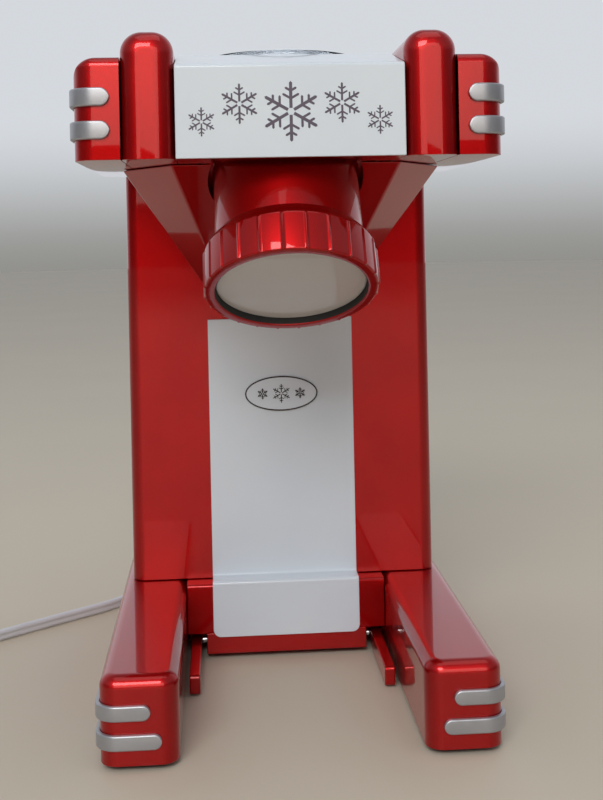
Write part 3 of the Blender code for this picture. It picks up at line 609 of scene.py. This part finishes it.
def make_arms():
    """Flat arms that reach forward out of the notches, and the rod they turn on."""
    pivot = Vector(JOINTS["arm_swing"]["pos_m"]) / MM
    low, high = limits("right_tray_arm")
    reach = low.y - pivot.y
    side_view = [(0.0, 2.9), (reach + 1.2, 2.6), (reach, 1.4), (reach, -7.2), (reach + 1.2, -8.4),
                 (-14.0, -8.0), (-3.0, -5.0)]
    eye_radius = 4.85
    side_view += arc(0, 0, eye_radius, -105, 80, 20)
    outline = [(y + pivot.y, z + pivot.z) for y, z in side_view]
    for label in ("left", "right"):
        low, high = limits(f"{label}_tray_arm")
        arm = prism(f"{label}_arm_moulding", outline, low.x, high.x, "x")
        show(soften(arm, 0.7, 4), f"{label}_tray_arm")
    low, high = limits("arm_rod")
    rod_radius = 2.1
    outline = [(y + pivot.y, z + pivot.z) for y, z in circle(rod_radius, 40)]
    rod = prism("arm_rod_metal", outline, low.x, high.x, "x")
    show(soften(rod, 0.4, 3, 60), "arm_rod")


make_feet()
make_crosspiece()
make_arms()


# ---------------------------------------------------------------- column

def make_column():
    """Front shell, rear cover with vents and holes, and the top cap, which is open to the head."""
    low, high = limits("column_front_shell")
    corner = 8.0
    x, y = high.x - corner, low.y + corner
    outer = arc(x, y, corner, -90, 0, 14)
    inner = arc(x, y, corner - WALL, 0, -90, 14)
    half = outer + [(high.x, high.y), (high.x - WALL, high.y)] + inner
    shell = prism("column_moulding", half + [(-u, v) for u, v in reversed(half)], low.z, high.z)
    boolean(shell, box("motor_opening", (-40, 40), (20, 50), (228, 300)))
    show(soften(shell, 0.4, 3, 50), "column_front_shell")

    low, high = limits("column_rear_cover")

    def cover_outline(inset, shrink):
        d = inset + shrink
        radius = max(10 - d, 0.4)
        return rounded_rect(low.x + d, high.x - d, low.z + d, high.z - d, (0.5, 0.5, radius, radius))

    cover = cup("rear_cover_moulding", cover_outline, round_levels(low.y, high.y, 7.0), "y")
    vents, vent_low, vent_pitch, vent_height = 6, 232.0, 9.0, 4.0
    for row in range(vents):
        z = vent_low + row * vent_pitch
        outline = rounded_rect(-34, 34, z, z + vent_height, (1.9,) * 4, 6)
        boolean(cover, prism("vent", outline, high.y - 9, high.y + 9, "y"))
    relief_middle = (relief_low + relief_high) / 2 / MM
    holes = [(relief_middle.x, relief_middle.z, 6.4)]
    for node in ("lower_cover_screw", "upper_cover_screw"):
        screw_low, screw_high = limits(node)
        holes.append((0.0, (screw_low.z + screw_high.z) / 2, 2.3))
    for x, z, radius in holes:
        outline = [(x + u, z + v) for u, v in circle(radius, 48)]
        boolean(cover, prism("hole", outline, high.y - 9, high.y + 9, "y"))
    show(soften(cover, 0.35, 2, 50), "column_rear_cover")

    low, high = limits("column_top_cap")

    def cap_outline(inset, shrink):
        d = inset + shrink
        return rounded_rect(low.x + d, high.x - d, low.y + shrink, high.y - shrink, (0.5,) * 4, 2)

    cap = cup("top_cap_moulding", cap_outline, round_levels(low.z, high.z, 10.0))
    boolean(cap, box("head_opening", (-76, 76), (30, 47), (285, 344)))
    boolean(cap, box("rear_opening", (-82, 82), (107, 122), (285, 338)))
    show(soften(cap, 0.35, 2, 50), "column_top_cap")


def make_screws():
    """Pan-head screws with a cross recess."""
    for node in ("lower_cover_screw", "upper_cover_screw"):
        low, high = limits(node)
        middle = (low.z + high.z) / 2
        top = high.y
        profile = [(0, top - 11.2), (1.9, top - 11.2), (1.9, top - 1.9), (4.15, top - 1.9),
                   (4.15, top - 1.2), (3.7, top - 0.55), (2.8, top - 0.12), (1.6, top), (0, top)]
        screw = turned(f"{node}_head", profile, 40)
        screw.data.transform(Matrix.Rotation(-pi / 2, 4, "X"))
        screw.data.transform(Matrix.Translation((0, 0, middle * MM)))
        for wide, tall in ((2.2, 0.45), (0.45, 2.2)):
            recess = box("recess", (-wide, wide), (top - 1.1, top + 1), (middle - tall, middle + tall))
            boolean(screw, recess)
        show(screw, node)


def make_strip():
    """Bent white sheet down the column, over the ledge and down the crosspiece."""
    low, high = limits("column_front_strip")
    ledge_low, ledge_high = limits("base_crosspiece")
    thick = 1.9
    hollow = 1.4
    face, front, top = high.y, ledge_low.y - GAP, ledge_high.z + GAP
    outer = [(face - thick, high.z)]
    outer += arc(face - thick - hollow, top + thick + hollow, hollow, 0, -90, 10)
    bend = arc(front, top, thick, 90, 180, 10)
    inner = [(front - thick, low.z), (front, low.z), (front, top), (face, top), (face, high.z)]
    strip = prism("white_strip", outer + bend + inner, low.x, high.x, "x")
    builder = bmesh.new()
    builder.from_mesh(strip.data)
    corners = []
    for edge in builder.edges:
        a, b = (v.co / MM for v in edge.verts)
        lower = max(abs(a.z - low.z), abs(b.z - low.z)) < 0.01
        if lower and abs(a.x - b.x) < 0.01 and abs(a.y - b.y) > 1.0:
            corners.append(edge)
    corner = 4.5
    bmesh.ops.bevel(builder, geom=corners, offset=corner * MM, segments=8, profile=0.5,
                    affect="EDGES")
    builder.to_mesh(strip.data)
    builder.free()
    show(soften(strip, 0.4, 3, 40), "column_front_strip")


def snowflake(builder, x, z, reach, thick, at_y, deep=0.22):
    """Six-armed flake of flat bars with two pairs of side branches on each arm."""
    def bar(start, end, half, rise):
        start, end = Vector(start), Vector(end)
        along = (end - start).normalized()
        across = Vector((-along.y, along.x)) * half
        outline = [start - across, end - across, end + along * half, end + across, start + across]
        rows = [[builder.verts.new((x + p.x, y, z + p.y)) for p in outline]
                for y in (at_y, at_y - rise)]
        builder.faces.new(rows[0])
        builder.faces.new(rows[1])
        for i in range(len(outline)):
            j = (i + 1) % len(outline)
            builder.faces.new((rows[0][i], rows[0][j], rows[1][j], rows[1][i]))

    for arm in range(6):
        angle = radians(90 + 60 * arm)
        ray = Vector((cos(angle), sin(angle)))
        bar(ray * 0.12 * reach, ray * reach, thick / 2, deep)
        for share, length in ((0.45, 0.30), (0.72, 0.20)):
            for turn in (-1, 1):
                branch = Vector((cos(angle + turn * pi / 3), sin(angle + turn * pi / 3)))
                root = ray * reach * share
                bar(root, root + branch * reach * length, thick * 0.38, deep * 0.8)


def make_badge():
    """Oval plate with a plain border and three small flakes."""
    low, high = limits("front_badge")
    middle = (low + high) / 2
    half_x, half_z = (high.x - low.x) / 2, (high.z - low.z) / 2

    def oval(shrink, y):
        return [(middle.x + (half_x - shrink) * u, y, middle.z + (half_z - shrink) * v)
                for u, v in circle(1.0, 96)]

    back, front = high.y, low.y
    plate = skin("badge_plate", [oval(0.0, back), oval(0.0, front + 0.4), oval(0.12, front + 0.25),
                                 oval(0.6, front + 0.25)])
    attach(plate, "front_badge", "white_panel")
    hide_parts("front_badge")
    loops = [oval(0.15, front + 0.26), oval(0.15, front + 0.05), oval(0.25, front),
             oval(0.85, front), oval(0.95, front + 0.05), oval(0.95, front + 0.26)]
    attach(skin("badge_border", loops, ring=True), "front_badge")
    builder = bmesh.new()
    thick, deep = 0.55, 0.18
    for x, reach in ((-11.5, 3.2), (0.0, 5.6), (11.5, 3.2)):
        snowflake(builder, middle.x + x, middle.z, reach, thick, front + 0.24, deep)
    attach(make_object("badge_flakes", builder), "front_badge")


def make_chin():
    """Faceted corbel under the head, hollow, with the hole that the chute comes out of."""
    _, high = limits("chin_housing")
    back = high.y
    top = high.z
    floor_z = top + GAP
    column_y = back + GAP
    laid_out_at = 30.9
    shift = column_y - laid_out_at
    front_corner, side_corner = (60.5, -79.0 + shift, floor_z), (89.0, -33.0 + shift, floor_z)
    rear_corner = (91.5, column_y, floor_z)
    toe, knee = (27.0, column_y, 204.7), (41.0, column_y, 218.5)
    inside = np.array((0.0, 10.0, 285.0))

    def plane(p, q, r, moved):
        p, q, r = (np.array(v, float) for v in (p, q, r))
        normal = np.cross(q - p, r - p)
        normal /= np.linalg.norm(normal)
        if normal @ (inside - p) > 0:
            normal = -normal
        return normal, normal @ p + moved

    def meet(*planes):
        normals = np.array([normal for normal, _ in planes])
        return tuple(np.linalg.solve(normals, np.array([offset for _, offset in planes])))

    def solid(name, wall, overrun):
        front = plane((-front_corner[0], *front_corner[1:]), front_corner, toe, -wall)
        side = plane(front_corner, side_corner, toe, -wall)
        outer = plane(side_corner, rear_corner, knee, -wall)
        lid = (np.array((0.0, 0.0, 1.0)), top + overrun)
        rear = (np.array((0.0, 1.0, 0.0)), back + overrun)
        right = [meet(lid, front, side), meet(lid, side, outer), meet(lid, outer, rear),
                 meet(rear, side, outer), meet(rear, front, side)]
        builder = bmesh.new()
        r = [builder.verts.new(p) for p in right]
        m = [builder.verts.new((-x, y, z)) for x, y, z in right]
        for face in ((m[0], r[0], r[4], m[4]), (r[0], r[1], r[3], r[4]), (r[1], r[2], r[3]),
                     (m[0], m[4], m[3], m[1]), (m[1], m[3], m[2]),
                     (r[0], m[0], m[1], m[2], r[2], r[1]), (r[2], m[2], m[3], m[4], r[4], r[3])):
            builder.faces.new(face)
        return make_object(name, builder)

    chin = solid("chin_moulding", 0.0, 0.0)
    bevel = chin.modifiers.new("facets", "BEVEL")
    facet_edge = 1.1
    bevel.width = facet_edge * MM
    bevel.segments = 4
    bevel.limit_method = "ANGLE"
    bevel.angle_limit = radians(12)
    bake(chin)
    boolean(chin, solid("chin_hollow", WALL, 6.0))
    boolean(chin, tilt(prism("chin_hole", circle(CHUTE_HOLE, ROUND), 30, 95)))
    chin.data.shade_smooth()
    chin.data.set_sharp_from_angle(angle=radians(30))
    weighted = chin.modifiers.new("flats", "WEIGHTED_NORMAL")
    weighted.weight = 80
    weighted.keep_sharp = True
    show(bake(chin), "chin_housing")


# ---------------------------------------------------------------- tilted chute

TWIST = JOINTS["ring_twist"]
TILT_AXIS = Vector(TWIST["axis"])
TILT = atan2(TILT_AXIS.y, TILT_AXIS.z)
TILTED = Matrix.Translation(Vector(TWIST["pos_m"])) @ Matrix.Rotation(-TILT, 4, "X")


def tilt(obj):
    """Moves a piece made upright on Z onto the chute's axis."""
    obj.data.transform(TILTED)
    return obj


RIBS = 24
RING_RADIUS = 44.15
RING_BORE = 38.9
RING_LOW = -3.9
RING_HIGH = 24.0
RING_CONE = 17.2
RIB_HALF = 0.55
RIB_RISE = 0.75
CHUTE_BORE = 36.0
CHUTE_HOLE = 41.5


def make_ring():
    """Twist ring with thin ribs down to its lower face, a cone above them, a black band of painted
    shade in its bore, and the disc.
    """
    per_rib = 24
    count = RIBS * per_rib

    def loop(radius, height, rise=0.0):
        points = []
        for i in range(count):
            angle = 2 * pi * i / count
            step = (i % per_rib) - per_rib / 2
            away = abs(step) * 2 * pi / count * RING_RADIUS
            raised = rise * (1 - ease(away, RIB_HALF * 0.35, RIB_HALF * 1.5))
            points.append(((radius + raised) * cos(angle), (radius + raised) * sin(angle), height))
        return points

    low, high = RING_LOW, RING_HIGH
    loops = [loop(RING_BORE, high - 0.3), loop(RING_BORE, low + 0.5),
             loop(RING_BORE + 0.2, low + 0.12), loop(RING_BORE + 0.6, low),
             loop(RING_RADIUS - 1.1, low, 0.3),
             loop(RING_RADIUS - 0.5, low + 0.15, 0.8),
             loop(RING_RADIUS - 0.15, low + 0.45, RIB_RISE), loop(RING_RADIUS, low + 1.0, RIB_RISE),
             loop(RING_RADIUS, RING_CONE - 1.5, RIB_RISE), loop(RING_RADIUS, RING_CONE - 0.9, 0.4),
             loop(RING_RADIUS, RING_CONE - 0.5), loop(RING_RADIUS - 0.15, RING_CONE),
             loop(RING_RADIUS - 0.5, RING_CONE + 0.6), loop(RING_BORE + 1.2, high - 0.5),
             loop(RING_BORE + 0.7, high)]
    ring = tilt(skin("ring_moulding", loops, ring=True))
    ring.data.set_sharp_from_angle(angle=radians(60))
    show(ring, "mouth_ring")

    # Black band inside the bore in black rubber: painted shade on the ring's inner wall.
    bore_shade_profile = [(38.6, -3.3), (38.8, -3.4), (39.3, -3.3), (39.3, 7.0), (38.6, 7.0)]
    attach(tilt(turned("mouth_bore_shade", bore_shade_profile, ROUND)), "mouth_ring", "black_rubber")

    face, edge = -0.3, 1.0
    rim, plug_outer, plug_inner = 38.5, 35.6, 33.6
    profile = [(0, face), (rim - edge, face)] + arc(rim - edge, face + edge, edge, -90, 0, 5)
    profile += [(rim, 8.0), (plug_outer, 8.0), (plug_outer, 15.0), (plug_inner, 15.0),
                (plug_inner, 1.9), (0, 1.9)]
    # The disc takes the darker, warmer copy of the white: painted shade and painted floor bounce.
    show(tilt(turned("disc_moulding", profile, ROUND)), "mouth_disc", look=DISC_PAINTED_SHADE)


def make_chute():
    """Tube from the mouth up to its flange under the gear plate."""
    plate_low = 70.3
    flange, flange_low = 45.5, 67.5
    bore, outer, mouth = CHUTE_BORE, 38.5, 8.6
    profile = [(bore, mouth + 0.4), (bore + 0.4, mouth), (outer - 0.4, mouth), (outer, mouth + 0.4),
               (outer, flange_low - 0.8), (outer + 0.4, flange_low - 0.2), (outer + 1.0, flange_low),
               (flange - 0.3, flange_low), (flange, flange_low + 0.3), (flange, plate_low - GAP),
               (bore, plate_low - GAP)]
    show(tilt(turned("chute_moulding", profile, ROUND)), "chute_tube")


# ---------------------------------------------------------------- head

def make_head_sides():
    """Round-nosed rails and the wings outside them, each a hollow moulding."""
    for label in ("left", "right"):
        low, high = limits(f"{label}_rail")

        def rail_outline(inset, shrink):
            d = inset + shrink
            radius = min(max(10.5 - d * 0.8, 0.6), (high.x - low.x) / 2 - d - 0.05)
            return rounded_rect(low.x + d, high.x - d, low.z + shrink, high.z - d,
                                (0.3, 0.3, radius, radius), 14)

        levels = round_levels(high.y, low.y, 9.5, 14)
        show(cup(f"{label}_rail_moulding", rail_outline, levels, "y"), f"{label}_rail")

        low, high = limits(f"{label}_wing")
        rim, end = (high.x, low.x) if label == "left" else (low.x, high.x)

        def wing_outline(inset, shrink):
            d = inset + shrink
            radius = max(5 - d, 0.4)
            return rounded_rect(low.y + d, high.y - d, low.z + shrink, high.z - d,
                                (0.3, 0.3, radius, radius))

        levels = round_levels(rim, end, 11.0, 14)
        show(cup(f"{label}_wing_moulding", wing_outline, levels, "x"), f"{label}_wing")


PANEL_SLOPE_RISE = 11.8


def make_head_covers():
    """Bent front panel, top cover with the lid's opening, and the underside plate."""
    low, high = limits("head_front_panel")
    thick = 2.4
    bend_z = high.z - PANEL_SLOPE_RISE
    slope = atan2(high.z - bend_z, high.y - low.y)
    bend_radius = 2.2
    bend = arc(low.y + bend_radius, bend_z - 1.3, bend_radius, 180, 90 + slope * 180 / pi, 12)
    side_view = [(low.y, low.z)] + bend + [(high.y, high.z), (high.y, high.z - thick)]
    side_view += [(low.y + thick, bend_z - thick + 0.8), (low.y + thick, low.z)]
    panel = prism("front_panel_moulding", side_view, low.x, high.x, "x")
    show(soften(panel, 0.45, 3, 40), "head_front_panel")

    low, high = limits("head_top_cover")
    cover = box("top_cover_moulding", (low.x, high.x), (low.y, high.y), (low.z, high.z))
    boolean(cover, tilt(prism("lid_opening", circle(CHUTE_BORE + GAP, ROUND), 100, 170)))
    pin_low, pin_high = limits("switch_pin")
    pin_y = (pin_low.y + pin_high.y) / 2
    pin_hole = [(x, y + pin_y) for x, y in circle(2.4, 32)]
    boolean(cover, prism("pin_hole", pin_hole, 330, 360))
    show(soften(cover, 0.4, 2, 60), "head_top_cover")

    low, high = limits("head_floor")
    floor = box("head_underside", (low.x, high.x), (low.y, high.y), (low.z, high.z))
    boolean(floor, tilt(prism("floor_hole", circle(CHUTE_HOLE, ROUND), 40, 120)))
    boolean(floor, box("drive_opening", (-48, 48), (-78.6, -46), (290, 300)))
    show(soften(floor, 0.3, 2, 60), "head_floor")


def make_panel_flakes():
    """Row of flakes printed on the front panel, largest in the middle."""
    low, high = limits("head_front_panel")
    middle_z = (low.z + high.z - PANEL_SLOPE_RISE) / 2
    builder = bmesh.new()
    flakes = ((-43.5, -5.0, 6.8), (-25.0, 3.5, 9.4), (0.0, -0.5, 14.0), (25.0, 3.5, 9.4),
              (43.5, -5.0, 6.8))
    for x, z, reach in flakes:
        snowflake(builder, x, middle_z + z, reach, reach * 0.11, low.y + 0.02, 0.12)
    attach(make_object("panel_flakes", builder), "head_front_panel", "badge_ink", PLUM_INK)


# ---------------------------------------------------------------- trim strips

def wrap_path(start_x, corner_x, front_y, radius, end_y):
    """Plan path from the front face round the outer corner and back along the side."""
    path = [(start_x + (corner_x - radius - start_x) * t / 6, front_y) for t in range(6)]
    path += arc(corner_x - radius, front_y + radius, radius, -90, 0, 14)
    straight = end_y - front_y - radius
    return path + [(corner_x, front_y + radius + straight * t / 12) for t in range(1, 13)]


def make_trim_strip(node, corner_radius):
    """Round-ended band that stands off the housing, with softened edges."""
    low, high = limits(node)
    side = 1 if low.x > 0 else -1
    thick = 1.9
    stand_off = GAP + thick
    inner_x = low.x if side > 0 else -high.x
    outer_x = (high.x if side > 0 else -low.x) - stand_off
    plan = wrap_path(inner_x, outer_x, low.y + stand_off, corner_radius, high.y)
    path = [np.array(p) for p in plan]
    half_height = (high.z - low.z) / 2
    middle = (high.z + low.z) / 2
    lengths = np.cumsum([0.0] + [np.linalg.norm(b - a) for a, b in zip(path, path[1:])])
    total = lengths[-1]
    ends = [half_height * (1 - cos(pi / 2 * k / 10)) for k in range(10)]
    between = list(np.linspace(half_height, total - half_height, 60))
    stations = ends + between + [total - e for e in reversed(ends)]
    xs, ys = zip(*path)
    step = 0.6
    blunt = 0.35
    soft_edge = 0.9

    def point_at(length):
        return np.array((np.interp(length, lengths, xs), np.interp(length, lengths, ys)))

    loops = []
    for s in stations:
        point = point_at(s)
        ahead, behind = point_at(min(s + step, total)), point_at(max(s - step, 0))
        tangent = (ahead - behind) / np.linalg.norm(ahead - behind)
        outward = np.array((tangent[1], -tangent[0]))
        reach = min(s, total - s, half_height)
        half = max(sqrt(max(half_height ** 2 - (half_height - reach) ** 2, 0.0)), blunt)
        edge = min(soft_edge, half * 0.6)
        section = [(GAP, -half)]
        section += [(stand_off - edge + edge * sin(a), -half + edge - edge * cos(a))
                    for a in (pi / 2 * k / 5 for k in range(6))]
        section += [(stand_off - edge + edge * cos(a), half - edge + edge * sin(a))
                    for a in (pi / 2 * k / 5 for k in range(6))]
        section += [(GAP, half)]
        loops.append([(side * (point[0] + outward[0] * d), point[1] + outward[1] * d, middle + h)
                      for d, h in section])
    show(skin(f"{node}_band", loops), node)


# ---------------------------------------------------------------- lid and inside

def make_lid():
    """Clear lid with its stem and the tab that presses the switch, and the plunger's foot."""
    low, high = limits("clear_lid")
    radius = (high.x - low.x) / 2
    disc_y = low.y + radius
    thick, edge, dish = 2.7, 0.9, 0.6
    lid_low, lid_high = high.z - thick, high.z
    profile = ([(0, lid_low), (radius - 0.7, lid_low), (radius - 0.1, lid_low + 0.4)]
               + arc(radius - edge, lid_high - edge, edge, 0, 90, 6)
               + [(radius - 4.0, lid_high), (radius - 4.8, lid_high - dish), (0, lid_high - dish)])
    lid = turned("lid_moulding", profile, ROUND)
    lid.data.transform(Matrix.Translation((0, disc_y * MM, 0)))
    stem_radius = 10.0
    stem = tilt(prism("stem", circle(stem_radius, 64), 92.0, 160.0))
    boolean(stem, box("above_lid", (-30, 30), (-60, 70), (lid_high - 1.0, 400)))
    boolean(lid, stem, "UNION")
    tab_front = disc_y + radius - 6.0
    outline = rounded_rect(-7, 7, tab_front, high.y, (1, 1, 5, 5))
    boolean(lid, prism("tab", outline, lid_low, lid_high - 0.8), "UNION")
    lid.data.shade_smooth()
    lid.data.set_sharp_from_angle(angle=radians(40))
    show(lid, "clear_lid")
    profile = [(0, 84.6), (34.2, 84.6), (35.2, 85.4), (35.4, 86.2), (35.4, 90.4), (34.8, 91.3),
               (34.0, 91.6), (0, 91.6)]
    show(tilt(turned("plunger_plate", profile, 96)), "plunger_foot")


def make_chamber():
    """Ice chamber round the plunger, with a skirt on the gear plate and a window for the idler."""
    chamber_low, chamber_high = 82.2, 175.0
    bore, outer = CHUTE_BORE, 38.3
    flange, skirt = 44.5, 42.2
    plate_high = 73.3
    _, high = limits("ice_chamber")
    profile = [(bore, chamber_low), (bore, chamber_high), (outer, chamber_high),
               (outer, chamber_low + 2), (flange, chamber_low + 2), (flange, plate_high + GAP),
               (skirt, plate_high + GAP), (skirt, chamber_low)]
    chamber = tilt(turned("chamber_moulding", profile, 96))
    boolean(chamber, box("above", (-80, 80), (-140, 90), (high.z, 430)))
    window = tilt(box("window", (-21, 21), (20, 60), (70, chamber_low - 0.4)))
    boolean(chamber, window)
    show(soften(chamber, 0.3, 2, 60), "ice_chamber")


make_column()
make_screws()
make_strip()
make_badge()
make_chin()
make_ring()
make_chute()
make_head_sides()
make_head_covers()
make_panel_flakes()
for side_name in ("left", "right"):
    for level in ("upper", "lower"):
        make_trim_strip(f"{side_name}_wing_{level}_trim", 11.0)
        make_trim_strip(f"{side_name}_foot_{level}_trim", 9.0)
make_lid()
make_chamber()

# The drive and the switch keep their CAD shapes: they are seen only through the clear lid.
for node_name, node in frame["nodes"].items():
    if not node.hide_render:
        node.data.materials.clear()
        node.data.materials.append(SLOTS[SLOT_OF[node_name]])


# ---------------------------------------------------------------- studio

def area_light(name, place_at, aim, size, power, colour):
    """Rectangular light at a place in metres, turned to its aim."""
    data = bpy.data.lights.new(name, "AREA")
    data.shape = "RECTANGLE"
    data.size, data.size_y = size
    data.energy = power
    data.color = colour
    light = bpy.data.objects.new(name, data)
    bpy.context.scene.collection.objects.link(light)
    light.location = place_at
    light.rotation_euler = (Vector(aim) - Vector(place_at)).to_track_quat("-Z", "Y").to_euler()
    return light


def make_world():
    """Pale wall behind, darker room in front and a lighter ceiling, blended by direction."""
    world = bpy.data.worlds.new("studio")
    bpy.context.scene.world = world
    world.use_nodes = True
    nodes, links = world.node_tree.nodes, world.node_tree.links
    direction = nodes.new("ShaderNodeTexCoord")
    split = nodes.new("ShaderNodeSeparateXYZ")
    links.new(direction.outputs["Generated"], split.inputs[0])

    def share(axis, start, end):
        span = nodes.new("ShaderNodeMapRange")
        span.interpolation_type = "SMOOTHSTEP"
        span.inputs["From Min"].default_value = start
        span.inputs["From Max"].default_value = end
        links.new(split.outputs[axis], span.inputs["Value"])
        return span.outputs["Result"]

    def blend(factor, first, second):
        mix = nodes.new("ShaderNodeMix")
        mix.data_type = "RGBA"
        links.new(factor, mix.inputs["Factor"])
        for socket, value in ((mix.inputs[6], first), (mix.inputs[7], second)):
            if isinstance(value, tuple):
                socket.default_value = (*value, 1)
            else:
                links.new(value, socket)
        return mix.outputs[2]

    front = blend(share("Z", 0.02, 0.4), (0.04, 0.045, 0.055), (0.42, 0.44, 0.47))
    room = blend(share("Y", 0.0, 0.6), front, (0.70, 0.73, 0.78))
    room = blend(share("Z", 0.5, 0.95), room, (0.30, 0.32, 0.35))
    seen = blend(share("Z", -0.03, 0.1), (0.287, 0.284, 0.266), (0.66, 0.69, 0.73))
    ray = nodes.new("ShaderNodeLightPath")
    links.new(blend(ray.outputs["Is Camera Ray"], room, seen), nodes["Background"].inputs["Color"])


def make_studio():
    """Wide pale floor, a window and a warm card in front, and a weak light overhead."""
    floor_radius = 9000.0
    floor = prism("floor", circle(floor_radius, 96), -20.0, -0.05)
    floor.data.materials.append(material("pale_floor", (0.56, 0.49, 0.385), 0.6, mottle=3,
                                         second=(0.59, 0.52, 0.41), grain=300, bump=0.0))
    area_light("window", (-0.9, -3.4, 2.65), (0, 0, 0.2), (2.2, 1.5), 88, (0.97, 0.985, 1.0))
    area_light("ceiling", (0.1, -0.3, 2.3), (0, -0.05, 0), (1.8, 1.4), 7, (1.0, 0.99, 0.97))
    card = area_light("card", (-0.1, -3.4, 1.2), (0, -0.1, 0.3), (3.0, 1.7), 33, (1.0, 0.92, 0.80))
    card.visible_diffuse = False
    make_world()
    bpy.context.scene.view_settings.view_transform = "Standard"


make_studio()
